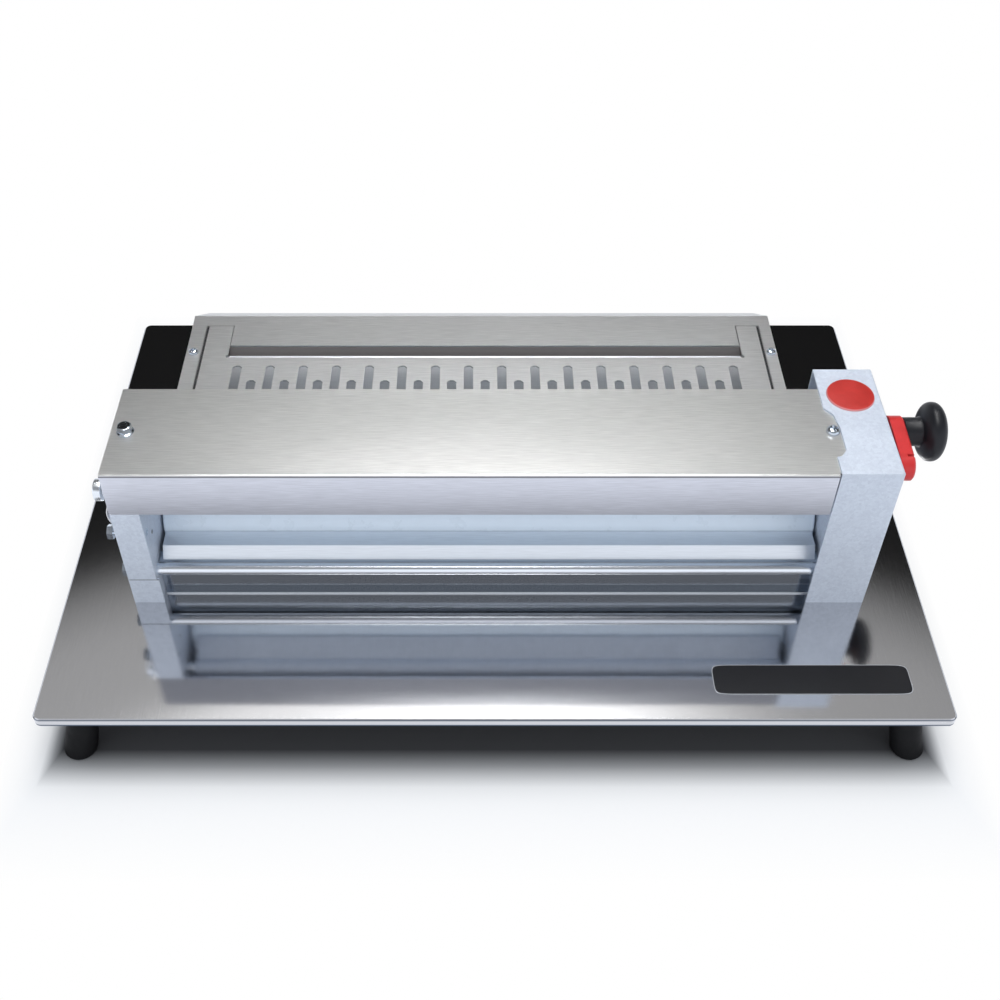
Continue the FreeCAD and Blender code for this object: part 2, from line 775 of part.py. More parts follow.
def sector(x0, x1, inner, outer, low, high):
    """A flat ring sector round the adjusting shaft between two radii and two angles."""
    middle = (high + low) / 2

    def at(radius, angle):
        return vec(x0, adjust_y + radius * math.cos(angle), adjust_z + radius * math.sin(angle))

    edges = [Part.Arc(at(outer, low), at(outer, middle), at(outer, high)).toShape(),
             Part.LineSegment(at(outer, high), at(inner, high)).toShape(),
             Part.Arc(at(inner, high), at(inner, middle), at(inner, low)).toShape(),
             Part.LineSegment(at(inner, low), at(outer, low)).toShape()]
    return Part.Face(Part.Wire(edges)).extrude(vec(x1 - x0, 0, 0))


def arc_slot(x0, x1):
    """The curved slot cutter that the knob's stud travels in as the lever turns."""
    half = stud_radius + pass_clearance
    high = math.radians(lever_rest_angle)
    low = math.radians(lever_rest_angle - setting_angle)
    slot = sector(x0, x1, lever_radius - half, lever_radius + half, low, high)
    for angle in (low, high):
        y = adjust_y + lever_radius * math.cos(angle)
        z = adjust_z + lever_radius * math.sin(angle)
        slot = slot.fuse(rod_x(x0, x1, y, z, half))
    return slot


def clamp_nut():
    """The clamping nut on the knob's stud, inside the case wall."""
    nut = hexagon(clamp_nut_across_flats, clamp_nut_height, vec(clamp_nut_x, knob_y, knob_z),
                  vec(1, 0, 0))
    return nut.cut(rod_x(clamp_nut_x - over, lever_inner_x, knob_y, knob_z,
                         stud_radius + stud_clearance))


def clamp_washer():
    """The washer between the case and the lever's eye."""
    ring = rod_x(case_outer_x + clamp_gap, lever_inner_x, knob_y, knob_z, clamp_washer_radius)
    return ring.cut(rod_x(case_outer_x, lever_inner_x + over, knob_y, knob_z,
                          stud_radius + stud_clearance))


def thickness_lever():
    """The red moulded lever: a split hub on the shaft and an eye for the knob's stud."""
    x0 = lever_inner_x
    x1 = lever_outer_x
    angle = math.radians(lever_rest_angle)
    up_y = -math.sin(angle)
    up_z = math.cos(angle)
    bar = polygon_x([(adjust_y + lever_hub_radius * up_y, adjust_z + lever_hub_radius * up_z),
                     (knob_y + lever_eye_radius * up_y, knob_z + lever_eye_radius * up_z),
                     (knob_y - lever_eye_radius * up_y, knob_z - lever_eye_radius * up_z),
                     (adjust_y - lever_hub_radius * up_y, adjust_z - lever_hub_radius * up_z)],
                    x0, x1)
    hub = rod_x(x0, x1, adjust_y, adjust_z, lever_hub_radius)
    eye = rod_x(x0, x1, knob_y, knob_z, lever_eye_radius)
    lever = bar.fuse([hub, eye]).removeSplitter()
    rims = [e for e in lever.Edges if e.BoundBox.XMin > x1 - 0.01]
    lever = lever.makeChamfer(lever_edge_bevel, rims)
    slit = box(x0 + lever_thickness / 2, x1 + over, adjust_y - lever_slit / 2,
               adjust_y + lever_slit / 2, adjust_z, adjust_z + 2 * lever_hub_radius)
    lever = lever.cut(slit)
    lever = lever.cut(rod_x(x0 - over, x1 - lever_bore_floor, adjust_y, adjust_z,
                            adjust_shaft_radius))
    return lever.cut(rod_x(x0 - over, x1 + over, knob_y, knob_z, stud_radius + stud_clearance))


def clamp_knob():
    """The black mushroom knob: a neck, a swelling shoulder, a band round its rim and a crown."""
    neck = lever_outer_x + clamp_gap
    disc = neck + knob_neck_length
    band = disc + knob_rim_thickness
    end = disc + knob_thickness
    profile = [(neck, 0), (neck, knob_neck_radius), (disc, knob_neck_radius),
               (band - knob_band_width / 2, knob_radius), (band + knob_band_width / 2, knob_radius),
               (disc + knob_crown_thickness, knob_crown_radius), (end, knob_flat_radius), (end, 0)]
    knob = revolve_x(profile, knob_y, knob_z)
    return knob.cut(rod_x(neck - over, neck + knob_stud_depth, knob_y, knob_z, stud_radius))


def clamp_stud():
    """The knob's steel stud, through the lever's eye and the curved slot into the nut."""
    return rod_x(clamp_nut_x, lever_outer_x + knob_stud_depth, knob_y, knob_z, stud_radius)


def tie_bolts():
    """The bolts that pull the two frames onto the tie rod, one at each end."""
    z = table_z + tie_rod_height
    left = bolt_x(left_outer_x, -1, tie_rod_y, z, left_frame_width + side_bolt_depth)
    right = bolt_x(right_plate_x, 1, tie_rod_y, z, plate_thickness + side_bolt_depth)
    return group([left, right])


def tie_rod():
    """The round bright bar between the frames, tapped at both ends."""
    z = table_z + tie_rod_height
    bar = rod_x(left_inner_x, right_inner_x, tie_rod_y, z, tie_rod_radius)
    return bar.cut(tie_bolts())


def anchor_bolt():
    """The bolt on the left side that holds the torsion spring's leg."""
    gap = torsion_wire + 2 * torsion_wall_gap
    return bolt_x(left_outer_x, -1, anchor_y, table_z + anchor_height, left_frame_width, gap)


def scraper_points():
    """The lower scraper's upper face, from its edge at the roller, as (y, z) points."""
    rise = scraper_height - lower_roller_height
    edge_y = roller_y - math.sqrt((roller_radius + scraper_gap) ** 2 - rise ** 2)
    front_y = edge_y - scraper_top_depth
    foot_y = front_y - scraper_front_drop * math.tan(math.radians(scraper_front_lean))
    top = table_z + scraper_height
    return [(edge_y, top), (front_y, top), (foot_y, top - scraper_front_drop)]


def scraper():
    """The fixed scraper of the lower roller: a folded bar with a bevelled edge."""
    x0 = left_inner_x + scraper_end_gap
    x1 = right_inner_x - scraper_end_gap
    edge, front, foot = scraper_points()
    lean = math.radians(scraper_front_lean)
    foot_back = foot[0] + scraper_thickness / math.cos(lean)
    under = edge[1] - scraper_thickness
    inner_y = foot_back + (under - foot[1]) * math.tan(lean)
    bevel_y = edge[0] - scraper_thickness / 2
    return polygon_x([edge, front, foot, (foot_back, foot[1]), (inner_y, under),
                      (bevel_y, under)], x0, x1)


def toe_plate():
    """The folded sheet behind the tie rod that closes the front and carries the scraper."""
    wall_y = tie_rod_y + tie_rod_radius + toe_clearance
    top = scraper_points()[2][1]
    points = [(wall_y, table_z), (wall_y, top), (wall_y + toe_flange_depth, top)]
    return bent_sheet(points, sheet, left_inner_x + toe_end_gap, right_inner_x - toe_end_gap)


def pivot_shaft():
    """The upper scraper's shaft, with a turned collar outside the left frame."""
    collar_start = left_outer_x - pivot_stub_length
    collar_end = collar_start + pivot_collar_length
    edge = pivot_collar_radius - bend_radius / 2
    profile = [(collar_start, 0), (collar_start, edge), (collar_start + bend_radius / 2,
               pivot_collar_radius), (collar_end, pivot_collar_radius),
               (collar_end, pivot_radius), (right_plate_x, pivot_radius), (right_plate_x, 0)]
    return revolve_x(profile, pivot_y, pivot_z)


def blade_tip():
    """Where the upper scraper's blade nearly touches the upper roller, as (y, z)."""
    angle = math.radians(blade_contact_angle)
    reach = roller_radius + scraper_gap
    return roller_y - reach * math.cos(angle), upper_z - reach * math.sin(angle)


def upper_scraper():
    """The sprung scraper of the upper roller: a tube on its shaft with a flat blade."""
    x0 = left_inner_x + blade_end_gap
    x1 = right_inner_x - blade_end_gap
    tip_y, tip_z = blade_tip()
    length = math.hypot(tip_y - pivot_y, tip_z - pivot_z)
    along_y = (tip_y - pivot_y) / length
    along_z = (tip_z - pivot_z) / length
    down_y = along_z * blade_thickness
    down_z = -along_y * blade_thickness
    blade = polygon_x([(pivot_y, pivot_z), (tip_y, tip_z), (tip_y + down_y, tip_z + down_z),
                       (pivot_y + down_y, pivot_z + down_z)], x0, x1)
    hub = rod_x(x0, x1, pivot_y, pivot_z, blade_hub_radius)
    return hub.fuse(blade).removeSplitter().cut(rod_x(x0 - over, x1 + over, pivot_y, pivot_z,
                                                      pivot_radius))


def biarc(start, start_way, end, end_way):
    """Two arcs that meet smoothly and leave and arrive along the two unit directions."""
    across = end - start
    both = start_way + end_way
    spread = 2 * (1 - start_way.dot(end_way))
    lean = across.dot(both)
    reach = (math.sqrt(lean * lean + spread * across.dot(across)) - lean) / spread
    joint = (start + end + (start_way - end_way) * reach) / 2

    def arc(first, way, last, side):
        chord = last - first
        straight = way - chord * (way.dot(chord) / chord.dot(chord))
        lean_angle = way.getAngle(chord)
        rise = straight.normalize() * (side * chord.Length / 2 * math.tan(lean_angle / 2))
        return Part.Arc(first, (first + last) / 2 + rise, last).toShape()

    return [arc(start, start_way, joint, 1), arc(joint, end_way, end, -1)]


def torsion_path():
    """The spring's middle line: quarter turns down the stub, then a straight leg to the bolt."""
    wire = torsion_wire / 2
    radius = pivot_radius + torsion_clearance + wire
    wall_x = left_outer_x - torsion_wall_gap - wire
    quarter = torsion_pitch / 4
    places = []
    ways = []
    for k in range(torsion_quarters + 1):
        left = torsion_quarters - k
        angle = math.pi - left * math.pi / 2
        places.append(vec(wall_x - quarter * left, pivot_y + radius * math.cos(angle),
                          pivot_z + radius * math.sin(angle)))
        climb = quarter if left else 0
        ways.append(vec(climb, -radius * math.pi / 2 * math.sin(angle),
                        radius * math.pi / 2 * math.cos(angle)).normalize())
    edges = []
    for k in range(torsion_quarters):
        edges += biarc(places[k], ways[k], places[k + 1], ways[k + 1])
    hook = vec(wall_x, places[-1].y, table_z + anchor_height - 2 * side_bolt_radius)
    edges.append(Part.LineSegment(places[-1], hook).toShape())
    return Part.Wire(edges)


def least_gap(path, thickness):
    """The least gap of a tube to itself, measured on points of its middle line."""
    points = path.discretize(Number=150)
    step = path.Length / (len(points) - 1)
    apart = math.ceil(3 * thickness / step)
    nearest = min(points[i].distanceToPoint(points[j])
                  for i in range(len(points)) for j in range(i + apart, len(points)))
    return nearest - thickness


def torsion_spring():
    """The torsion spring round the pivot stub; its straight leg rests behind the anchor bolt."""
    path = torsion_path()
    start = path.Edges[0]
    section = Part.Wire(Part.makeCircle(torsion_wire / 2, start.valueAt(start.FirstParameter),
                                        start.tangentAt(start.FirstParameter)))
    print("torsion spring, least gap to itself, mm:", round(least_gap(path, torsion_wire), 3))
    return path.makePipeShell([section], True, False)


def guard_plan(inset, front_y):
    """The guard housing seen from above, with its rear corners cut off, as (x, y) points."""
    left = guard_left_x + inset
    right = guard_right_x - inset
    rear = guard_rear_y + guard_slope_length * math.cos(math.radians(guard_slope_angle)) - inset
    cut = guard_slope_length
    side_y = guard_rear_y - inset / 2
    return [(left, front_y), (left, side_y), (left + cut - inset / 2, rear),
            (right - cut + inset / 2, rear), (right, side_y), (right, front_y)]


def guard_opening():
    """The cutter for the grille's place in the panel, without the tongue behind the infeed."""
    left = grille_left_x - slit_width / 2
    right = grille_right_x + slit_width / 2
    low = guard_under_z - guard_sheet
    high = guard_top_z + over
    room = box(left, right, guard_front_y - over, slit_rear_y, low, high)
    tongue = box(infeed_left_x + ear_gap, infeed_right_x - ear_gap, infeed_rear_y,
                 slit_rear_y + over, low - over, high + over)
    return room.cut(tongue)


def guard_housing():
    """The folded stainless box behind the hood, with a sloping edge along its back."""
    slope_run = guard_slope_length * math.cos(math.radians(guard_slope_angle))
    slope_drop = guard_slope_length * math.sin(math.radians(guard_slope_angle))

    def body(inset, front_y, bottom):
        top = guard_top_z - inset
        block = polygon_z(guard_plan(inset, front_y), bottom, top)
        far = 2 * slope_run
        wedge = polygon_x([(guard_rear_y, top), (guard_rear_y + far, top - 2 * slope_drop),
                           (guard_rear_y + far, top + slope_drop),
                           (guard_rear_y, top + slope_drop)],
                          guard_left_x - over, guard_right_x + over)
        return block.cut(wedge)

    shell = body(0, guard_wall_front_y, table_z)
    shell = shell.cut(body(guard_sheet, guard_wall_front_y - over, table_z - over))
    apron = box(guard_left_x, guard_right_x, guard_front_y, guard_wall_front_y, guard_under_z,
                guard_top_z)
    shell = shell.fuse(apron).removeSplitter().cut(guard_opening())
    gap = wall_pass_gap
    gearbox_room = box(guard_right_x - 2 * guard_sheet, guard_right_x + over,
                       guard_wall_front_y - over, pinion_y + gearbox_rear + gap, table_z - over,
                       lower_z + gearbox_half_height + gap)
    shell = shell.cut(gearbox_room)
    for x in guard_screw_places():
        shell = shell.cut(rod_z(x, guard_screw_y, guard_under_z - over, guard_top_z + over,
                                small_screw_radius))
    return shell


def guard_screw_places():
    """The X of the two screws, in the middle of the strips outside the slits."""
    return [(guard_left_x + grille_left_x - slit_width / 2) / 2,
            (guard_right_x + grille_right_x + slit_width / 2) / 2]


def guard_rail(wall_x, side, screw_x):
    """An angle inside the housing's side wall, under the panel's strip and the grille's edge."""
    inner = wall_x + side * guard_sheet
    flat = sorted([inner, inner + side * rail_width])
    leg = sorted([inner, inner + side * rail_thickness])
    top = guard_under_z
    flange = box(flat[0], flat[1], guard_wall_front_y, slit_rear_y, top - rail_thickness, top)
    wall = box(leg[0], leg[1], guard_wall_front_y, slit_rear_y, top - rail_drop, top)
    rail = flange.fuse(wall).removeSplitter()
    return rail.cut(rod_z(screw_x, guard_screw_y, top - rail_drop - over, top + over,
                          small_screw_radius))


def guard_screws():
    """Two small screws through the panel's strips into the rails."""
    top = guard_top_z + small_head_height
    bottom = guard_under_z - rail_thickness - over
    profile = [(0, bottom), (small_screw_radius, bottom), (small_screw_radius, guard_top_z),
               (small_head_radius, guard_top_z), (small_head_radius, top), (0, top)]
    return group([revolve_z(profile, x, guard_screw_y) for x in guard_screw_places()])


def guard_grille():
    """The slotted finger guard between the slits, with an ear on each side of the infeed."""
    left = grille_left_x + slit_width / 2
    right = grille_right_x - slit_width / 2
    low = guard_under_z
    high = guard_top_z
    plate = box(left, right, guard_front_y, slit_rear_y - ear_gap, low, high)
    infeed = box(infeed_left_x, infeed_right_x, infeed_front_y, slit_rear_y, low - over, high + over)
    plate = plate.cut(infeed)
    lip = box(infeed_left_x + relief_radius * 2, infeed_right_x - relief_radius * 2,
              infeed_front_y - guard_sheet, infeed_front_y, low - lip_depth, high)
    plate = plate.fuse(lip).removeSplitter()
    cutters = []
    for x in (infeed_left_x, infeed_right_x):
        cutters.append(rod_z(x, infeed_front_y, low - over, high + over, relief_radius))
    middle = (infeed_left_x + infeed_right_x) / 2
    for k in range(slot_count):
        x = middle + (k - (slot_count - 1) / 2) * slot_pitch
        cutters.append(slot_z(x, slot_front_y, slot_rear_y, slot_width, low - over, high + over))
        if k < slot_count - 1:
            cutters.append(slot_z(x + slot_pitch / 2, slot_front_y, stagger_rear_y, slot_width,
                                  low - over, high + over))
    return plate.cut(group(cutters))


def chute_points():
    """The chute's upper face as (y, z) points, from its hem to the lip at the rollers."""
    return [(infeed_rear_y + chute_hem, guard_under_z), (infeed_rear_y, guard_under_z),
            (chute_end_y, table_z + chute_end_height), (chute_lip_y, table_z + chute_lip_height)]


def infeed_chute():
    """The folded sheet that leads the dough from the infeed down to the rollers."""
    x0 = infeed_left_x - chute_spread
    x1 = infeed_right_x + chute_spread
    points = chute_points()
    floor = bent_sheet(points[::-1], chute_sheet, x0, x1)
    slope = points[1:3]
    cheek_left = bent_sheet(slope, chute_cheek, x0, x0 + chute_sheet)
    cheek_right = bent_sheet(slope, chute_cheek, x1 - chute_sheet, x1)
    room = box(x0 - over, x1 + over, guard_wall_front_y, infeed_rear_y - chute_sheet, table_z,
               guard_under_z)
    cheeks = group([cheek_left, cheek_right]).common(room)
    return floor.fuse(cheeks).removeSplitter()


def gearbox():
    """The reduction gearbox on the side plate, with the pinion shaft's bore."""
    x0 = right_inner_x - gearbox_length
    case = box(x0, right_inner_x, pinion_y - gearbox_front, pinion_y + gearbox_rear,
               lower_z - gearbox_half_height, lower_z + gearbox_half_height)
    long_edges = [e for e in case.Edges if e.BoundBox.XLength > gearbox_length - 1]
    case = case.makeFillet(gearbox_edge_round, long_edges)
    return case.cut(rod_x(right_inner_x - gearbox_bore_depth, right_inner_x + over, pinion_y,
                          lower_z, pinion_shaft_radius + bearing_clearance))


def gear_motor():
    """The motor on the gearbox, a turned body with a narrower bell at its far end."""
    y = pinion_y + motor_behind_pinion
    x1 = right_inner_x - gearbox_length
    x0 = x1 - motor_length
    small = motor_radius - motor_bell_step
    profile = [(x0, 0), (x0, small), (x0 + motor_bell_length, small),
               (x0 + motor_bell_length, motor_radius), (x1, motor_radius), (x1, 0)]
    return revolve_x(profile, y, lower_z)


def pinion_shaft():
    """The shaft that carries the drive pinion, out of the gearbox."""
    return rod_x(right_inner_x - gearbox_bore_depth + wall_pass_gap, gear_end_x, pinion_y,
                 lower_z, pinion_shaft_radius)


def drive_pinion():
    """The drive pinion behind the lower gear, with a tooth that points to it."""
    return gear_x(pinion_teeth, gear_start_x, gear_end_x, pinion_y, lower_z,
                  pinion_shaft_radius, 180)


def make_parts():
    """Every sub-part by its node's name."""
    parts = {"worktop": worktop()}
    parts["feet"] = group([foot(x, y, side) for x, y, side in foot_places()])
    parts["left_bearing_plate"] = left_bearing_plate()
    parts["left_casing"] = left_casing()
    parts["left_foot_bracket"] = left_foot_bracket()
    parts["right_side_plate"] = right_side_plate()
    parts["gear_case_cover"] = gear_case_cover()
    parts["case_plug"] = case_plug()
    parts["hood"] = hood()
    parts["hood_screw_left"] = hood_screw_left()
    parts["hood_screw_right"] = hood_screw_right()
    parts["lower_roller_sleeve"] = roller_sleeve(lower_z)
    parts["lower_roller_shaft"] = roller_shaft(lower_z)
    parts["lower_roller_gear"] = lower_gear()
    parts["lower_gear_nut"] = gear_nut(lower_z)
    parts["upper_roller_sleeve"] = roller_sleeve(upper_z)
    parts["upper_roller_shaft"] = roller_shaft(upper_z)
    parts["upper_roller_gear"] = upper_gear()
    parts["upper_gear_nut"] = gear_nut(upper_z)
    parts["lower_bush_left"] = lower_bush(left_inner_x, left_plate_x)
    parts["lower_bush_right"] = lower_bush(right_inner_x, right_plate_x)
    parts["bearing_block_left"] = bearing_block(left_inner_x, left_plate_x)
    parts["bearing_block_right"] = bearing_block(right_inner_x, right_plate_x)
    parts["block_springs"] = block_springs()
    parts["cams"] = group([cam(x0, x1) for x0, x1 in cam_ends()])
    parts["adjust_shaft"] = adjust_shaft()
    parts["clamp_nut"] = clamp_nut()
    parts["clamp_washer"] = clamp_washer()
    parts["thickness_lever"] = thickness_lever()
    parts["clamp_knob"] = clamp_knob()
    parts["clamp_stud"] = clamp_stud()
    parts["tie_rod"] = tie_rod()
    parts["side_bolts"] = group(tie_bolts().Solids + [anchor_bolt()])
    parts["scraper"] = scraper()
    parts["toe_plate"] = toe_plate()
    parts["pivot_shaft"] = pivot_shaft()
    parts["upper_scraper"] = upper_scraper()
    parts["torsion_spring"] = torsion_spring()
    parts["guard_housing"] = guard_housing()
    rail_left, rail_right = guard_screw_places()
    parts["guard_rails"] = group([guard_rail(guard_left_x, 1, rail_left),
                                  guard_rail(guard_right_x, -1, rail_right)])
    parts["guard_screws"] = guard_screws()
    parts["guard_grille"] = guard_grille()
    parts["infeed_chute"] = infeed_chute()
    parts["gearbox"] = gearbox()
    parts["gear_motor"] = gear_motor()
    parts["pinion_shaft"] = pinion_shaft()
    parts["drive_pinion"] = drive_pinion()
    return parts


os.makedirs("parts", exist_ok=True)
for name, shape in make_parts().items():
    shape.exportStep("parts/" + name + ".step")
    print(name, len(shape.Solids), round(shape.Volume, 1), shape.isValid())
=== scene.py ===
# %% [markdown]
# A table-top pizza dough roller, dressed in Blender. The measured model comes first: every plate, roller
# and screw is already in its place, and this file adds smooth surfaces, finishes, light and a camera.

# %% Load the measured model
import math

import bmesh
import bpy
import numpy as np
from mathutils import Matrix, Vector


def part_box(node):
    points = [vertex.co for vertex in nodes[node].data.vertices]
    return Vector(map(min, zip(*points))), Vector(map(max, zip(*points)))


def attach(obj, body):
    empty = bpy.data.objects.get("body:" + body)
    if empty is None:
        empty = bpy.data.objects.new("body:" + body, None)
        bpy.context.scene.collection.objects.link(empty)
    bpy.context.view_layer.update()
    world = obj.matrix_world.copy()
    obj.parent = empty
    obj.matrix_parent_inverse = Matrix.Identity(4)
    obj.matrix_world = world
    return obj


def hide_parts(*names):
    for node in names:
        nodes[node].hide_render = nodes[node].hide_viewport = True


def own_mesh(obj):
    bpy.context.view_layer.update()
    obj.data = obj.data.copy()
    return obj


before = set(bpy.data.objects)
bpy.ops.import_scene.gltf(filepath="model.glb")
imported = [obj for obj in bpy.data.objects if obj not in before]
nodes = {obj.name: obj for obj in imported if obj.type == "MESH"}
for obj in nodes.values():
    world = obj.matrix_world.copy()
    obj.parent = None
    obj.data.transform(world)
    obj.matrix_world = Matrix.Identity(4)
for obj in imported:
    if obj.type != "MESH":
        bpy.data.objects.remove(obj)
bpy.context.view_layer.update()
print("pieces in the measured model:", len(nodes))

# %% [markdown]
# Every size below is read from the measured model, so nothing has to be fitted by hand. A millimetre is
# a thousandth of Blender's unit, and the worktop's upper face is the height that most places start from.

# %% Units and main heights
MM = 0.001


def corners(node):
    """The lowest and the highest corner of a measured piece, as numpy arrays in metres."""
    low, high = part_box(node)
    return np.array(low), np.array(high)


def middle(node):
    low, high = corners(node)
    return (low + high) / 2


table_high = corners("worktop")[1]
table_z = table_high[2]
hood_top = corners("hood")[1][2]
print("worktop height, mm:", round(table_z / MM, 1), "hood top, mm:", round(hood_top / MM, 1))

# %% [markdown]
# A finish is a small graph of nodes. Written as plain sums it is easier to read: this class wraps one
# socket, and an operator on it adds the Math node that does the sum. The reflected forms let a number
# stand on the left, as in 1 - mask.


# %% Sums on sockets
class Wire:
    """One output socket of a graph. Operators on it add Math nodes."""

    def __init__(self, graph, socket):
        self.graph = graph
        self.socket = socket

    def maths(self, operation, first, second):
        return self.graph.node("ShaderNodeMath", {"operation": operation}, {0: first, 1: second})

    def __add__(self, other):
        return self.maths("ADD", self, other)

    def __mul__(self, other):
        return self.maths("MULTIPLY", self, other)

    def __sub__(self, other):
        return self.maths("SUBTRACT", self, other)

    def __rsub__(self, other):
        return self.maths("SUBTRACT", other, self)

    def __abs__(self):
        return self.graph.node("ShaderNodeMath", {"operation": "ABSOLUTE"}, {0: self})

    def highest(self, other):
        return self.maths("MAXIMUM", self, other)

    __radd__ = __add__
    __rmul__ = __mul__


# %% [markdown]
# One method makes every other node. It takes the node's type, its settings, which are set first because
# some of them change the sockets, and the values or wires that go in. The same class serves the finishes,
# the floor and the room, because each of them is a tree of nodes.


# %% A graph and its nodes
class Graph:
    """A tree of nodes under construction."""

    def __init__(self, tree):
        self.tree = tree

    def node(self, kind, settings, inputs, output=0):
        made = self.tree.nodes.new(kind)
        for setting, value in settings.items():
            setattr(made, setting, value)
        for key, value in inputs.items():
            self.join(made.inputs[key], value)
        return Wire(self, made.outputs[output])

    def join(self, socket, value):
        if isinstance(value, Wire):
            self.tree.links.new(value.socket, socket)
        else:
            socket.default_value = value

    def place(self):
        """The point on the piece, in metres from the middle of the machine."""
        return self.node("ShaderNodeTexCoord", {}, {}, "Object")

    def parts(self, vector):
        """The three parts of a vector, each as its own wire."""
        split = self.tree.nodes.new("ShaderNodeSeparateXYZ")
        self.join(split.inputs[0], vector)
        return [Wire(self, output) for output in split.outputs]

    def ramp(self, value, low, high, dark=0.0, light=1.0):
        """A value spread evenly from dark at low to light at high."""
        return self.node("ShaderNodeMapRange", {}, {0: value, 1: low, 2: high, 3: dark, 4: light})

    def mix(self, share, first, second):
        """A blend of two colours; each is a triple or a wire."""
        first, second = (c if isinstance(c, Wire) else (*c, 1) for c in (first, second))
        return self.node("ShaderNodeMix", {"data_type": "RGBA"}, {0: share, 6: first, 7: second}, 2)


# %% [markdown]
# A finish is such a graph with one Principled surface at its end. Noise is stretched along an axis by
# giving that axis a small scale, and a bump turns a pattern of 0 to 1 into a relief of a stated depth.


# %% A finish
class Finish(Graph):
    """A material under construction, with its Principled surface."""

    def __init__(self, name, metallic, roughness):
        self.material = bpy.data.materials.new(name)
        self.material.use_nodes = True
        super().__init__(self.material.node_tree)
        self.surface = self.tree.nodes["Principled BSDF"]
        self.put("Metallic", metallic)
        self.put("Roughness", roughness)

    def put(self, name, value):
        self.join(self.surface.inputs[name], value)

    def noise(self, stretch, detail=3.0):
        """Noise with its own number of waves per metre along each axis."""
        place = self.node("ShaderNodeMapping", {}, {"Vector": self.place(), "Scale": stretch})
        return self.node("ShaderNodeTexNoise", {}, {"Vector": place, "Scale": 1.0, "Detail": detail})

    def bump(self, height, depth):
        relief = self.node("ShaderNodeBump", {}, {"Height": height, "Distance": depth, "Strength": 1.0})
        self.put("Normal", relief)


print("graph helpers ready")

# %% [markdown]
# Brushed stainless steel is a sheet rubbed along one direction. The fine lines are far longer than they
# are wide, so noise is squeezed across the grain and stretched along it. Lines and scratches go into the
# colour, and the lines also give a very small relief. The blur of the reflections comes from the roughness:
# deep grooves would be truer, but they look like crumpled foil in a picture of this size. Slow clouds vary
# the gloss a little, so that large sheets don't look printed.


# %% Brushed stainless steel
def brushed(name, grain_axis, light, contrast, roughness, depth):
    """Stainless steel with its grain along one axis (0, 1 or 2)."""
    finish = Finish(name, 1.0, roughness)
    hair = [3600.0] * 3
    scratch = [2000.0] * 3
    cloud = [14.0] * 3
    hair[grain_axis] = 80.0
    scratch[grain_axis] = 60.0
    cloud[grain_axis] = 4.0
    lines = finish.noise(hair, 2.0)
    scratches = finish.noise(scratch, 3.0)
    clouds = finish.noise(cloud, 2.0)
    wear = lines * 0.5 + scratches * 0.35 + clouds * 0.15
    dark = tuple((1 - contrast) * part for part in light)
    finish.put("Base Color", finish.mix(finish.ramp(wear, 0.32, 0.68), dark, light))
    finish.put("Roughness", finish.ramp(clouds, 0.1, 0.9, roughness * 0.95, roughness * 1.05))
    finish.bump(lines, depth)
    return finish


hood_sheet = brushed("hood_steel", 0, (0.95, 0.95, 0.935), 0.26, 0.29, 0.000007)
panel_steel = brushed("panel_steel", 0, (0.92, 0.92, 0.92), 0.28, 0.30, 0.000007).material
toe_steel = brushed("toe_steel", 0, (0.58, 0.62, 0.67), 0.06, 0.16, 0.00001).material
worktop_sheet = brushed("worktop_steel", 1, (0.70, 0.70, 0.715), 0.06, 0.075, 0.000007)
rod_steel = brushed("ground_steel", 0, (0.90, 0.94, 0.98), 0.06, 0.26, 0.000002).material
scraper_sheet = brushed("scraper_steel", 0, (0.90, 0.94, 0.98), 0.14, 0.34, 0.00002)
scraper_sheet.put("Metallic", 0.8)
scraper_steel = scraper_sheet.material


def height_step(finish, height, start, end, low=0.0, high=1.0):
    """A value that changes from low to high between two heights on the piece."""
    return finish.ramp(height, float(start), float(end), low, high)


def base_colour(finish):
    """The wire that feeds the colour, to be changed and put back."""
    return Wire(finish, finish.surface.inputs["Base Color"].links[0].from_socket)


# Painted shade and a painted reflection: the hood's bend is painted as a fine dark line in its colour, and
# the pale front below it is tinted cool.
hood_z = hood_sheet.parts(hood_sheet.place())[2]
crease_soft = 0.4 * MM
crease_low, crease_high = hood_top - 1.9 * MM, hood_top - 0.9 * MM
front_top, front_soft = hood_top - 1.2 * MM, 0.6 * MM
painted_reflection_tint = (0.96, 0.98, 1.08, 1.0)
painted_crease_colour = (0.22, 0.22, 0.24)
# Painted shade along the bend: a dark band between two heights.
painted_crease_mask = (height_step(hood_sheet, hood_z, crease_low, crease_low + crease_soft)
          - height_step(hood_sheet, hood_z, crease_high, crease_high + crease_soft))
hood_front = height_step(hood_sheet, hood_z, front_top, front_top + front_soft, 1.0, 0.0)
# Painted reflection: the front's colour is multiplied by a cool tint.
painted_reflection_front = hood_sheet.node("ShaderNodeMix", {"data_type": "RGBA", "blend_type": "MULTIPLY"},
                             {0: hood_front, 6: base_colour(hood_sheet), 7: painted_reflection_tint}, 2)
hood_sheet.put("Base Color", hood_sheet.mix(painted_crease_mask, painted_reflection_front, painted_crease_colour))
hood_steel = hood_sheet.material
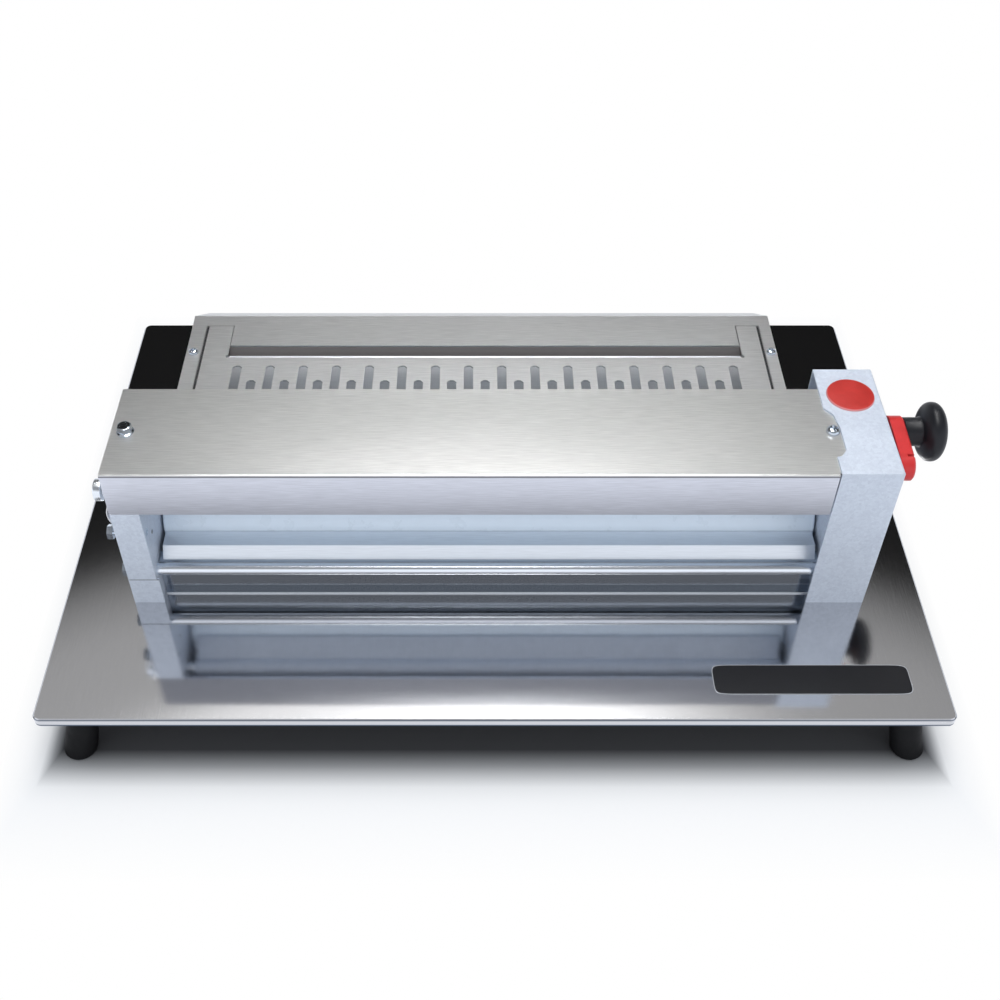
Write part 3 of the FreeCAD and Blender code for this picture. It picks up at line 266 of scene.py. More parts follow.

# The folded edge is a small bend, shaded in its colour: painted shade on its upper part and its foot, with a
# thin line of it left bright.
edge_z = worktop_sheet.parts(worktop_sheet.place())[2]
bend_low, bend_high = table_z - 4.6 * MM, table_z - 1.4 * MM
bend_soft = 0.5 * MM
edge_low, edge_high = table_z - 0.9 * MM, table_z - 0.3 * MM
painted_bend_colour = (0.10, 0.13, 0.18)
# Painted shade on the bend, from three steps in height.
painted_bend_mask = (height_step(worktop_sheet, edge_z, edge_low, edge_high, 1.0, 0.0)
        - height_step(worktop_sheet, edge_z, bend_high, bend_high + bend_soft, 1.0, 0.0)
        + height_step(worktop_sheet, edge_z, bend_low - bend_soft, bend_low, 1.0, 0.0))
worktop_sheet.put("Base Color", worktop_sheet.mix(painted_bend_mask, base_colour(worktop_sheet), painted_bend_colour))
worktop_steel = worktop_sheet.material
print("brushed finishes: hood, panel, toe plate, worktop, rod, scraper")

# %% [markdown]
# The chute is the same sheet, bright below and with painted shade near its upper bend. The height
# on the piece tells the two apart, so a step between two heights blends the bright sheet into the painted
# shade.

# %% Chute
chute_low, chute_high = corners("infeed_chute")
chute_sheet = brushed("chute_steel", 0, (0.95, 0.95, 0.95), 0.08, 0.42, 0.00001)
chute_sheet.put("Metallic", 0.25)
chute_z = chute_sheet.parts(chute_sheet.place())[2]
painted_shade_start, painted_shade_end = chute_high[2] - 6.5 * MM, chute_high[2] - 4.0 * MM
painted_shade_colour = (0.14, 0.128, 0.122)
# Painted shade: the upper bend's colour is dark.
painted_shade_mask = height_step(chute_sheet, chute_z, painted_shade_start, painted_shade_end)
chute_sheet.put("Base Color", chute_sheet.mix(painted_shade_mask, base_colour(chute_sheet), painted_shade_colour))
chute_steel = chute_sheet.material
print("chute height, mm:", round((chute_high[2] - chute_low[2]) / MM, 1))

# %% [markdown]
# Hot-dip galvanising leaves a skin of zinc crystals. Voronoi cells of about two millimetres stand for the
# crystals: each cell has its own slightly different blue-grey and gloss, and a fine grain lies over all.


# %% Galvanised sheet
def galvanised(name, light, dark):
    finish = Finish(name, 0.3, 0.5)
    crystal = finish.node("ShaderNodeTexVoronoi", {}, {"Vector": finish.place(), "Scale": 520.0}, "Color")
    crystal = finish.parts(crystal)[0]
    grain = finish.noise((1100.0, 1100.0, 1100.0), 4.0)
    cloud = finish.noise((45.0, 45.0, 45.0), 3.0)
    patch = crystal * 0.3 + grain * 0.45 + cloud * 0.25
    finish.put("Base Color", finish.mix(finish.ramp(patch, 0.25, 0.7), dark, light))
    finish.put("Roughness", finish.ramp(crystal, 0.0, 1.0, 0.42, 0.56))
    finish.bump(patch, 0.00003)
    return finish.material


zinc_skin = galvanised("galvanised_sheet", (0.69, 0.745, 0.83), (0.58, 0.63, 0.72))
print("galvanised sheet ready")

# %% [markdown]
# Plated screws, gears, bushes, castings and spring wire are metal without a grain. Their tool marks are too
# fine to see here, so slow noise in the colour and the roughness is enough to keep them from looking plain.


# %% Bright metal
def bright(name, shade, roughness):
    finish = Finish(name, 1.0, roughness)
    cloud = finish.noise((160.0, 160.0, 160.0))
    darker = tuple(0.84 * part for part in shade)
    finish.put("Base Color", finish.mix(finish.ramp(cloud, 0.35, 0.65), darker, shade))
    finish.put("Roughness", finish.ramp(cloud, 0.3, 0.7, roughness * 0.8, roughness * 1.25))
    return finish.material


plated_steel = bright("zinc_plate", (0.74, 0.80, 0.87), 0.15)
gear_steel = bright("machined_steel", (0.42, 0.43, 0.45), 0.35)
wire_steel = bright("spring_wire", (0.80, 0.80, 0.82), 0.30)
bearing_bronze = bright("bearing_bronze", (0.62, 0.43, 0.22), 0.3)
cast_alloy = bright("cast_alloy", (0.55, 0.56, 0.57), 0.5)
print("turned and plated finishes ready")

# %% [markdown]
# Moulded plastic has one colour through and through. What makes it look moulded is a slightly uneven gloss,
# from slow noise, and a skin that isn't perfectly flat, from fine noise. Rubber is the same with less gloss.


# %% Plastic, rubber and paint
def moulded(name, shade, roughness, mottle=0.12, pore=0.000015, gloss=0.5):
    finish = Finish(name, 0.0, roughness)
    finish.put("Specular IOR Level", gloss)
    cloud = finish.noise((110.0, 110.0, 110.0), 4.0)
    pores = finish.noise((1500.0, 1500.0, 1500.0), 2.0)
    darker = tuple((1 - mottle) * part for part in shade)
    finish.put("Base Color", finish.mix(finish.ramp(cloud, 0.35, 0.65), darker, shade))
    finish.put("Roughness", finish.ramp(cloud, 0.3, 0.7, roughness * 0.85, roughness * 1.15))
    finish.bump(pores, pore)
    return finish.material


roller_white = moulded("roller_plastic", (0.80, 0.89, 0.98), 0.3, 0.02)
lever_red = moulded("red_plastic", (0.66, 0.024, 0.024), 0.36, 0.15)
knob_black = moulded("black_plastic", (0.013, 0.014, 0.018), 0.42, 0.2, 0.000015, 0.32)
foot_rubber = moulded("black_rubber", (0.008, 0.008, 0.009), 0.6, 0.25, 0.00004, 0.1)
amber_rubber = moulded("amber_rubber", (0.55, 0.30, 0.07), 0.4, 0.15)
motor_paint = moulded("motor_paint", (0.03, 0.03, 0.032), 0.4)
film_dark = moulded("film_dark", (0.016, 0.016, 0.018), 0.5, 0.1, 0.000015, 0.12)
film_edge = moulded("film_edge", (0.42, 0.43, 0.45), 0.4, 0.05)
print("moulded finishes ready")

# %% [markdown]
# The round plug is red plastic, and the light on its moulded rim is a painted highlight: a thin pale line
# in its colour. Its distance from the plug's own axis tells the rim from the face, so the line stays round at
# any size.

# %% Red plug with a painted rim highlight
plug_middle = middle("case_plug")
plug_low, plug_high = corners("case_plug")
plug_radius = (plug_high[0] - plug_low[0]) / 2
rim_width = 0.7 * MM

plug_finish = Finish("red_plug", 0.0, 0.4)
plug_x, plug_y = plug_finish.parts(plug_finish.place())[:2]
offset_x = plug_x - float(plug_middle[0])
offset_y = plug_y - float(plug_middle[1])
from_axis = plug_finish.node("ShaderNodeMath", {"operation": "SQRT"},
                             {0: offset_x * offset_x + offset_y * offset_y})
# Painted highlight: a pale line in the colour along the rim.
painted_rim_highlight = plug_finish.ramp(from_axis, float(plug_radius - rim_width), float(plug_radius - rim_width * 0.7))
plug_cloud = plug_finish.noise((140.0, 140.0, 140.0), 4.0)
plug_patch = plug_finish.ramp(plug_cloud, 0.3, 0.7)
plug_face = plug_finish.mix(plug_patch, (0.47, 0.022, 0.016), (0.56, 0.030, 0.022))
plug_finish.put("Base Color", plug_finish.mix(painted_rim_highlight, plug_face, (0.66, 0.24, 0.24)))
plug_finish.put("Roughness", plug_finish.ramp(plug_cloud, 0.3, 0.7, 0.34, 0.46))
plug_finish.bump(plug_finish.noise((900.0, 900.0, 900.0), 2.0), 0.00002)
plug_red = plug_finish.material
print("plug radius, mm:", round(plug_radius / MM, 2))

# %% [markdown]
# The measured pieces whose shape is already right only need their finish. One table gives it.

# %% Finishes of the measured pieces
finish_of = {
    worktop_steel: ["worktop"],
    panel_steel: ["guard_housing", "guard_grille"],
    toe_steel: ["toe_plate"],
    chute_steel: ["infeed_chute"],
    hood_steel: ["hood"],
    scraper_steel: ["scraper"],
    zinc_skin: ["left_bearing_plate", "left_casing", "left_foot_bracket", "right_side_plate",
                "gear_case_cover", "upper_scraper"],
    rod_steel: ["tie_rod", "pivot_shaft", "adjust_shaft", "cams", "lower_roller_shaft",
                "upper_roller_shaft", "pinion_shaft"],
    plated_steel: ["hood_screw_left", "hood_screw_right", "side_bolts", "guard_screws",
                   "lower_gear_nut", "upper_gear_nut", "clamp_nut", "clamp_washer", "clamp_stud"],
    gear_steel: ["lower_roller_gear", "upper_roller_gear", "drive_pinion"],
    wire_steel: ["torsion_spring"],
    amber_rubber: ["block_springs"],
    bearing_bronze: ["lower_bush_left", "lower_bush_right", "bearing_block_left", "bearing_block_right"],
    cast_alloy: ["gearbox"],
    # The motor's paint is real; on the guard rails the same dark paint is painted shade, as they lie in shade
    # under the slit.
    motor_paint: ["gear_motor", "guard_rails"],
    roller_white: ["lower_roller_sleeve", "upper_roller_sleeve"],
    lever_red: ["thickness_lever"],
    plug_red: ["case_plug"],
    knob_black: ["clamp_knob"],
    foot_rubber: ["feet"],
}
dressed = 0
for finish, names in finish_of.items():
    for name in names:
        nodes[name].data.materials.clear()
        nodes[name].data.materials.append(finish)
        dressed += 1
print("measured pieces with a finish:", dressed, "of", len(nodes))

# %% [markdown]
# New surfaces are grids: a point for each pair of two parameters, worked out as whole arrays. This helper
# turns such grids into one mesh. An index array joins each point to its neighbours, and the last column
# joins the first. Rows that shrink to one point, as at a knob's end, are merged there, closing the pole.


# %% From grids of points to a mesh
def grid_faces(rows, columns):
    """Indices of the faces between neighbouring points of one grid, closed along its rows."""
    row = np.arange(rows - 1)[:, None]
    column = np.arange(columns)[None, :]
    next_column = (column + 1) % columns
    face = [row * columns + column, (row + 1) * columns + column,
            (row + 1) * columns + next_column, row * columns + next_column]
    return np.stack(np.broadcast_arrays(*face), axis=-1).reshape(-1, 4)


merge_distance = 1e-7


def skin(name, grids, sharp_degrees=35.0):
    """One mesh object from a list of grids of points[row, column]."""
    points = []
    faces = []
    start = 0
    for grid in grids:
        rows, columns = grid.shape[:2]
        points.append(grid.reshape(-1, 3))
        faces.append(grid_faces(rows, columns) + start)
        start += rows * columns
    mesh = bpy.data.meshes.new(name)
    mesh.from_pydata(np.concatenate(points).tolist(), [], np.concatenate(faces).tolist())
    tidy = bmesh.new()
    tidy.from_mesh(mesh)
    bmesh.ops.remove_doubles(tidy, verts=tidy.verts, dist=merge_distance)
    bmesh.ops.recalc_face_normals(tidy, faces=tidy.faces)
    tidy.to_mesh(mesh)
    tidy.free()
    mesh.shade_smooth()
    mesh.set_sharp_from_angle(angle=math.radians(sharp_degrees))
    piece = bpy.data.objects.new(name, mesh)
    bpy.context.scene.collection.objects.link(piece)
    return piece


def settle(piece, body, finish):
    """Gives a new piece its finish and its body to move with."""
    piece.data.materials.append(finish)
    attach(piece, body)
    print(piece.name, "faces:", len(piece.data.polygons))


# %% [markdown]
# Anything turned on a lathe is a profile carried round an axis. The profile is a short list of places
# along the axis with a radius; rounding its corners with small curves gives the soft edges of a real part.


# %% Turned surfaces
def round_corners(profile, radius, steps=5):
    """Replaces each inner corner of an (along, radius) profile by a curve tangent to both sides."""
    points = [np.array(profile[0], float)]
    for before, corner, after in zip(profile[:-2], profile[1:-1], profile[2:]):
        before, corner, after = (np.array(p, float) for p in (before, corner, after))
        back = (before - corner) / np.linalg.norm(before - corner)
        ahead = (after - corner) / np.linalg.norm(after - corner)
        room = 0.45 * min(np.linalg.norm(before - corner), np.linalg.norm(after - corner))
        reach = min(radius, room)
        share = np.linspace(0, 1, steps)[:, None]
        start, end = corner + back * reach, corner + ahead * reach
        points.extend((1 - share) ** 2 * start + 2 * share * (1 - share) * corner + share ** 2 * end)
    points.append(np.array(profile[-1], float))
    return np.array(points)


def lathe(profile, centre, axis, around=64):
    """Point = centre + axis * along + radius * (cos t * first + sin t * second)."""
    along_axis = np.eye(3)[axis]
    first, second = np.eye(3)[(axis + 1) % 3], np.eye(3)[(axis + 2) % 3]
    turn = np.linspace(0, 2 * math.pi, around, endpoint=False)
    ring = np.cos(turn)[:, None] * first + np.sin(turn)[:, None] * second
    along = profile[:, 0, None, None] * along_axis
    return np.array(centre) * (1 - along_axis) + along + profile[:, 1, None, None] * ring


print("turned surfaces ready")

# %% [markdown]
# The two rollers are white food plastic with a small chamfer at each end. The measured ones have flat
# facets, which would show as stripes in the reflections, so smooth ones take their place.

# %% Rollers
chamfer = 1.0 * MM
shaft_low, shaft_high = corners("lower_roller_shaft")
shaft_radius = (shaft_high[2] - shaft_low[2]) / 2


def roller(sleeve, body):
    low, high = corners(sleeve)
    radius = (high[2] - low[2]) / 2
    profile = [(low[0], shaft_radius), (low[0], radius - chamfer), (low[0] + chamfer, radius),
               (high[0] - chamfer, radius), (high[0], radius - chamfer), (high[0], shaft_radius),
               (low[0], shaft_radius)]
    piece = skin(sleeve + "_skin", [lathe(round_corners(profile, 0.4 * MM), middle(sleeve), 0, 96)])
    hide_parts(sleeve)
    settle(piece, body, roller_white)


roller("lower_roller_sleeve", "lower_roller")
roller("upper_roller_sleeve", "upper_roller")

# %% [markdown]
# The mushroom knob is one turned curve: a neck, a hollow shoulder that swells to the rim, and a domed
# face. Its curve is a superellipse, r = R (1 - |s|^p)^(1/p), which is rounder than a box and squarer than
# a ball, as a moulded knob is. The rows stand closer together near both faces, where it turns fastest.

# %% Mushroom knob
knob_low, knob_high = corners("clamp_knob")
knob_radius = (knob_high[2] - knob_low[2]) / 2
neck_length = 10.2 * MM
neck_radius = 9.0 * MM
disc_start = knob_low[0] + neck_length
disc_end = knob_high[0] - 1.2 * MM
disc_half = (disc_end - disc_start) / 2
squareness = 2.4
rim_crowding = 1.7
sweep = np.linspace(-1, 1, 33)
place = np.sign(sweep) * (1 - (1 - np.abs(sweep)) ** rim_crowding)
disc_radii = knob_radius * (1 - np.abs(place) ** squareness) ** (1 / squareness)
disc = np.stack([disc_start + disc_half * (1 + place), disc_radii], axis=1)
disc = disc[(disc[:, 1] > neck_radius) | (place > 0)]
neck_edge = 0.5 * MM
neck = [(knob_low[0], 0.0), (knob_low[0], neck_radius - neck_edge), (knob_low[0] + neck_edge, neck_radius),
        (disc_start - neck_edge, neck_radius)]
knob = skin("knob_skin", [lathe(np.concatenate([neck, disc]), middle("clamp_knob"), 0, 96)])
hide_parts("clamp_knob")
settle(knob, "clamp", knob_black)

# %% [markdown]
# The rubber feet lean outwards but are cut level at both ends. At each height the section is the same
# circle, moved sideways by height times the tangent of the lean and stretched by one over its cosine.

# %% Rubber feet
foot_splay = math.radians(14.0)
foot_top_radius = 9.3 * MM
foot_bottom_radius = 10.3 * MM
foot_rounding = 1.2 * MM
rounding_start = 0.97
foot_rows = 24
foot_columns = 48
feet_low, feet_high = corners("feet")


def rubber_foot(x_side, y_side):
    """Centre x moves out by drop * tan(lean); the radius grows in a straight line and rounds in below."""
    share = np.concatenate([[0.0], np.linspace(0, 1, foot_rows), [1.0]])
    height = feet_high[2] - (feet_high[2] - feet_low[2]) * share
    radius = foot_top_radius + (foot_bottom_radius - foot_top_radius) * share
    into_rounding = np.clip((share - rounding_start) / (1 - rounding_start), 0, 1)
    radius = radius - foot_rounding * into_rounding ** 2
    radius[0] = 0.0
    radius[-1] = 0.0
    bottom_x = feet_high[0] - foot_bottom_radius / math.cos(foot_splay)
    centre_x = x_side * (bottom_x - (height - feet_low[2]) * math.tan(foot_splay))
    centre_y = y_side * (feet_high[1] - foot_bottom_radius)
    turn = np.linspace(0, 2 * math.pi, foot_columns, endpoint=False)
    x = centre_x[:, None] + radius[:, None] * np.cos(turn) / math.cos(foot_splay)
    y = centre_y + radius[:, None] * np.sin(turn)
    return np.stack([x, y, np.repeat(height[:, None], foot_columns, axis=1)], axis=-1)


feet = skin("feet_skin", [rubber_foot(x_side, y_side) for x_side in (-1, 1) for y_side in (-1, 1)])
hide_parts("feet")
settle(feet, "frame", foot_rubber)

# %% [markdown]
# The tie rod and the pivot's collar are plain turned steel. Smooth skins replace the faceted ones, because
# facets on a shiny rod show as stripes. Each is one turned profile with slightly rounded corners.

# %% Tie rod and pivot
rod_low, rod_high = corners("tie_rod")
rod_radius = (rod_high[2] - rod_low[2]) / 2
rod_profile = [(rod_low[0], 0.0), (rod_low[0], rod_radius), (rod_high[0], rod_radius), (rod_high[0], 0.0)]
rod = skin("tie_rod_skin", [lathe(round_corners(rod_profile, 0.2 * MM), middle("tie_rod"), 0)])
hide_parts("tie_rod")
settle(rod, "frame", rod_steel)

pivot_low, pivot_high = corners("pivot_shaft")
pivot_middle = middle("pivot_shaft")
collar_radius = (pivot_high[2] - pivot_low[2]) / 2
collar_length = 5.0 * MM
collar_end = pivot_low[0] + collar_length
pivot_radius = 4.0 * MM
pivot_profile = [(pivot_low[0], 0.0), (pivot_low[0], collar_radius), (collar_end, collar_radius),
                 (collar_end, pivot_radius), (pivot_high[0], pivot_radius), (pivot_high[0], 0.0)]
pivot = skin("pivot_skin", [lathe(round_corners(pivot_profile, 0.9 * MM), pivot_middle, 0)])
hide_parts("pivot_shaft")
settle(pivot, "scraper_swing", rod_steel)

# %% [markdown]
# The torsion spring is wire wound three quarters round the stub, with a leg down to the bolt. A wire is a
# small ring carried along a path. The path is a helix and then a leg that bows out by a sine squared, as
# the real leg does, and at every point the ring stands square to the direction in which the path runs on.


# %% Torsion spring
def tube(path, radius, around=20):
    """Point = path + radius * (cos t * side + sin t * (way x side)); side is X made square to the way."""
    way = np.gradient(path, axis=0)
    way = way / np.linalg.norm(way, axis=1, keepdims=True)
    side = np.array([1.0, 0.0, 0.0]) - way * way[:, :1]
    side = side / np.linalg.norm(side, axis=1, keepdims=True)
    other = np.cross(way, side)
    turn = np.linspace(0, 2 * math.pi, around, endpoint=False)[None, :, None]
    rings = path[:, None] + radius * (np.cos(turn) * side[:, None] + np.sin(turn) * other[:, None])
    first_end = np.repeat(path[:1, None], around, axis=1)
    last_end = np.repeat(path[-1:, None], around, axis=1)
    return np.concatenate([first_end, rings, last_end])


spring_low, spring_high = corners("torsion_spring")
wire_radius = 0.8 * MM
coil_clearance = 0.5 * MM
coil_radius = pivot_radius + coil_clearance + wire_radius
coil_pitch = 2.1 * MM
coil_turns = 0.75
wall_x = spring_high[0] - wire_radius
to_go = np.linspace(coil_turns, 0, 60)
angle = math.pi - 2 * math.pi * to_go
coil = np.stack([wall_x - coil_pitch * to_go, pivot_middle[1] + coil_radius * np.cos(angle),
                 pivot_middle[2] + coil_radius * np.sin(angle)], axis=1)
leg_height = np.linspace(pivot_middle[2], spring_low[2], 24)[1:]
leg_bow = 3.6 * MM
leg_share = (leg_height - leg_height[-1]) / (leg_height[0] - leg_height[-1])
leg = np.stack([wall_x - leg_bow * np.sin(math.pi * leg_share) ** 2,
                np.full_like(leg_height, pivot_middle[1] - coil_radius), leg_height], axis=1)
spring = skin("torsion_spring_skin", [tube(np.concatenate([coil, leg]), wire_radius)])
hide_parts("torsion_spring")
settle(spring, "frame", wire_steel)

# %% [markdown]
# Under each sliding bearing block a small polyurethane cylinder pushes the block up. Pressed rubber bulges
# a little at its middle: the radius is the end radius plus a bulge that follows 1 - s * s.

# %% Block springs
block_low, block_high = corners("block_springs")
bulge = 0.25 * MM
spring_end_radius = (block_high[1] - block_low[1]) / 2 - bulge
press = np.linspace(-1, 1, 25)
press_height = block_low[2] + (block_high[2] - block_low[2]) * (press + 1) / 2
press_radius = spring_end_radius + bulge * (1 - press ** 2)
press_profile = np.concatenate([[(press_height[0], 0.0)], np.stack([press_height, press_radius], axis=1),
                                [(press_height[-1], 0.0)]])
press_y = (block_low[1] + block_high[1]) / 2
reach = spring_end_radius + bulge
press_places = [(block_low[0] + reach, press_y, 0.0), (block_high[0] - reach, press_y, 0.0)]
block_springs = skin("block_springs_skin", [lathe(press_profile, p, 2, 40) for p in press_places])
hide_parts("block_springs")
settle(block_springs, "frame", amber_rubber)
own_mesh(block_springs)

# %% [markdown]
# The plug is a flat red disc with a rounded rim, pressed into the case on a short barrel. It could be two
# cylinders, but one turned profile with rounded corners gives the rim its soft edge.

# %% Red plug
barrel_radius = 6.4 * MM
plug_thickness = 1.2 * MM
plug_slope = 0.5 * MM
case_top = plug_high[2] - plug_thickness
plug_profile = [(plug_low[2], 0.0), (plug_low[2], barrel_radius), (case_top, barrel_radius),
                (case_top, plug_radius), (plug_high[2], plug_radius - plug_slope), (plug_high[2], 0.0)]
plug = skin("case_plug_skin", [lathe(round_corners(plug_profile, 0.35 * MM), plug_middle, 2, 96)])
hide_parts("case_plug")
settle(plug, "frame", plug_red)

# %% [markdown]
# The left hood screw has a hexagon head on a round flange. A hexagon has the radius w / cos(a), where w is
# half its width and a is the angle from the middle of the nearest flat. The chamfer of a real head is a
# cone, so the top falls away wherever that radius is larger than the cone's.


# %% Hexagon head
def ring_angles(around):
    return np.linspace(0, 2 * math.pi, around, endpoint=False)


chamfer_slope = 0.55
chamfer_start = 0.93


def hexagon_head(centre, bottom, top, half_width):
    """Radius share s and angle t; height = top - slope * (s * R(t) - start * w) outside that circle."""
    turn = ring_angles(96)
    from_flat = (turn + math.pi / 6) % (math.pi / 3) - math.pi / 6
    outline = half_width / np.cos(from_flat)
    share = np.concatenate([np.linspace(0, 1, 16), [1.0]])[:, None]
    radius = share * outline
    height = top - chamfer_slope * np.clip(radius - chamfer_start * half_width, 0, None)
    height[-1] = bottom
    return np.stack([centre[0] + radius * np.cos(turn), centre[1] + radius * np.sin(turn), height], axis=-1)


hex_low, hex_high = corners("hood_screw_left")
hex_middle = middle("hood_screw_left")
flange_radius = (hex_high[0] - hex_low[0]) / 2
flange_top = hood_top + 1.2 * MM
flange_rim = hood_top + 0.5 * MM
hood_screw_radius = 2.0 * MM
hex_half_width = 4.0 * MM
head_sunk = 0.2 * MM
flange_profile = [(hex_low[2], 0.0), (hex_low[2], hood_screw_radius), (hood_top, hood_screw_radius),
                  (hood_top, flange_radius), (flange_rim, flange_radius), (flange_top, hex_half_width),
                  (flange_top, 0.0)]
flange = lathe(round_corners(flange_profile, 0.25 * MM), hex_middle, 2, 96)
head = hexagon_head(hex_middle, flange_top - head_sunk, hex_high[2], hex_half_width)
left_screw = skin("hood_screw_left_skin", [flange, head], sharp_degrees=22.0)
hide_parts("hood_screw_left")
settle(left_screw, "frame", plated_steel)

# %% [markdown]
# The other small screws have a pan head with a cross recess. The head is a flattened dome. The recess is
# cut where the point lies inside either arm of the cross, and its depth fades towards the arms' ends. Each
# head is one grid of rings round the screw's axis, with its shank as a second grid below it.


# %% Pan heads with a cross
dome_fall = 0.55
arm_half_width = 0.15
arm_edge = 0.04
arm_length = 0.6
arm_fade = 0.2
recess_share = 0.45


def pan_screw(centre, radius, bottom, seat, top, shank_radius):
    """Height = seat + rise * (1 - fall * s^4) - depth * cross, where s is the radius over the head's."""
    turn = ring_angles(160)
    share = np.concatenate([np.linspace(0, 1, 44), [1.0]])[:, None]
    x = radius * share * np.cos(turn)
    y = radius * share * np.sin(turn)
    height = seat + (top - seat) * (1 - dome_fall * share ** 4) * np.ones_like(turn)
    across = np.minimum(np.abs(x), np.abs(y)) / radius
    along = np.maximum(np.abs(x), np.abs(y)) / radius
    in_arm = np.clip((arm_half_width - across) / arm_edge + 0.5, 0, 1)
    cross = in_arm * np.clip((arm_length - along) / arm_fade, 0, 1)
    height = height - recess_share * (top - seat) * cross
    height[-1] = seat
    head = np.stack([centre[0] + x, centre[1] + y, height], axis=-1)
    shank = np.array([(bottom, 0.0), (bottom, shank_radius), (seat, shank_radius), (seat, radius)])
    return [lathe(shank, centre, 2, 160), head]


pan_low, pan_high = corners("hood_screw_right")
pan_radius = (pan_high[1] - pan_low[1]) / 2
pan_grids = pan_screw(middle("hood_screw_right"), pan_radius, pan_low[2], hood_top, pan_high[2],
                      hood_screw_radius)
right_screw = skin("hood_screw_right_skin", pan_grids)
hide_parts("hood_screw_right")
settle(right_screw, "frame", plated_steel)

guard_low, guard_high = corners("guard_screws")
guard_head = (guard_high[1] - guard_low[1]) / 2
guard_seat = corners("guard_housing")[1][2]
guard_shank = 1.5 * MM
guard_grids = []
for guard_x in (guard_low[0] + guard_head, guard_high[0] - guard_head):
    guard_centre = (guard_x, middle("guard_screws")[1], 0.0)
    guard_grids += pan_screw(guard_centre, guard_head, guard_low[2], guard_seat, guard_high[2],
                             guard_shank)
guard_screws = skin("guard_screws_skin", guard_grids)
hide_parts("guard_screws")
settle(guard_screws, "frame", plated_steel)

# %% [markdown]
# Some trim is too thin for the measured model. The toe plate ends in a flat foot with a rolled hem, which
# catches the light as one fine line, and the sheet at the infeed slot is folded over in the same way. A
# shadow line marks the joint of the left bracket, and a small rivet sits on the inner side of the left
# plate. The foot and the line are flat boxes, the hem and the fold thin rods along X, the rivet a turned
# dome. Boxes and rods are grids like the rest, so one helper makes each kind.


# %% Thin trim
def slab(name, low, high):
    """A box as two rows of a grid: the outline of its lower face and of its upper face, closed at both."""
    x = np.array([low[0], high[0], high[0], low[0]])
    z = np.array([low[2], low[2], high[2], high[2]])
    centre_x, centre_z = x.mean(), z.mean()
    rows = []
    for share, y in ((0.0, low[1]), (1.0, low[1]), (1.0, high[1]), (0.0, high[1])):
        rows.append(np.stack([centre_x + share * (x - centre_x), np.full(4, y),
                              centre_z + share * (z - centre_z)], axis=1))
    return skin(name, [np.array(rows)])


toe_low, toe_high = corners("toe_plate")
toe_foot_y = -92.8 * MM
toe_foot_lift = 0.01 * MM
toe_overlap = 0.2 * MM
hem_radius = 0.6 * MM
toe_ends = (toe_low[0] + 1.2 * MM, toe_high[0] - 0.2 * MM)
toe_foot = slab("toe_foot", (toe_ends[0], toe_foot_y, table_z + toe_foot_lift),
                (toe_ends[1], toe_low[1] + toe_overlap, table_z + 2 * hem_radius))
settle(toe_foot, "frame", toe_steel)


def bead(name, ends, y, z, radius, finish):
    """A thin rod along X: radius constant between its two ends and zero at both."""
    x = np.linspace(*ends, 8)
    side = np.stack([x, np.full_like(x, radius)], axis=1)
    profile = np.concatenate([[(x[0], 0.0)], side, [(x[-1], 0.0)]])
    piece = skin(name, [lathe(profile, (0.0, y, z), 0, 24)])
    settle(piece, "frame", finish)


bead("toe_hem", toe_ends, toe_foot_y, table_z + hem_radius, hem_radius, scraper_steel)

housing_low, housing_high = corners("guard_housing")
fold_inset_left = 29.0 * MM
fold_inset_right = 24.5 * MM
fold_y = 11.4 * MM
fold_depth = 0.45 * MM
fold_radius = 0.6 * MM
fold_ends = (housing_low[0] + fold_inset_left, housing_high[0] - fold_inset_right)
bead("infeed_fold", fold_ends, fold_y, housing_high[2] - fold_depth, fold_radius, scraper_steel)

bracket_low, bracket_high = corners("left_foot_bracket")
seam_half = 0.22 * MM
seam_inset = 0.2 * MM
seam_proud = 0.06 * MM
seam_low = (bracket_low[0] + seam_inset, bracket_low[1] - seam_proud, bracket_high[2] - seam_half)
seam_high = (bracket_high[0] - seam_inset, bracket_low[1] + seam_inset, bracket_high[2] + seam_half)
# The dark slab is a painted shadow line along the bracket's joint.
settle(slab("bracket_seam_shadow", seam_low, seam_high), "frame", motor_paint)

rivet_x = corners("left_bearing_plate")[1][0]
rivet_y = -86.3 * MM
rivet_height = 52.8 * MM
rivet_dome = np.array([(-0.3, 0.0), (-0.3, 1.5), (0.25, 1.4), (0.5, 0.9), (0.55, 0.0)]) * MM
rivet_profile = rivet_dome + np.array([rivet_x, 0.0])
rivet = skin("plate_rivet", [lathe(rivet_profile, (0.0, rivet_y, table_z + rivet_height), 0, 32)])
settle(rivet, "frame", gear_steel)

# %% [markdown]
# A plain dark film strip sits at the worktop's front right corner, on a slightly larger pale one that shows
# as its edge. It carries no words. Each is a flat grid inside a superellipse with a high power, which is
# nearly a rectangle with rounded corners.

# %% Film strip
strip_centre = np.array([0.1965, -0.1625])
strip_half = np.array([0.0612, 0.0112])
film_border = 0.4 * MM
film_thickness = 0.25 * MM
strip_thickness = film_thickness * 1.3
corner_power_x = 0.09
corner_power_y = 0.30


def film(name, half, top, finish):
    """x = a sgn(cos t) |cos t|^p and y = b sgn(sin t) |sin t|^p, each with its own power p for one radius."""
    turn = ring_angles(512)
    x = half[0] * np.sign(np.cos(turn)) * np.abs(np.cos(turn)) ** corner_power_x
    y = half[1] * np.sign(np.sin(turn)) * np.abs(np.sin(turn)) ** corner_power_y
    rings = []
    for share, height in ((0.0, top), (1.0, top), (1.0, 0.0), (0.0, 0.0)):
        rings.append(np.stack([strip_centre[0] + share * x, strip_centre[1] + share * y,
                               np.full_like(x, table_z + height)], axis=1))
    settle(skin(name, [np.array(rings)]), "frame", finish)


film("film_edge", strip_half, film_thickness, film_edge)
film("film_strip", strip_half - film_border, strip_thickness, film_dark)
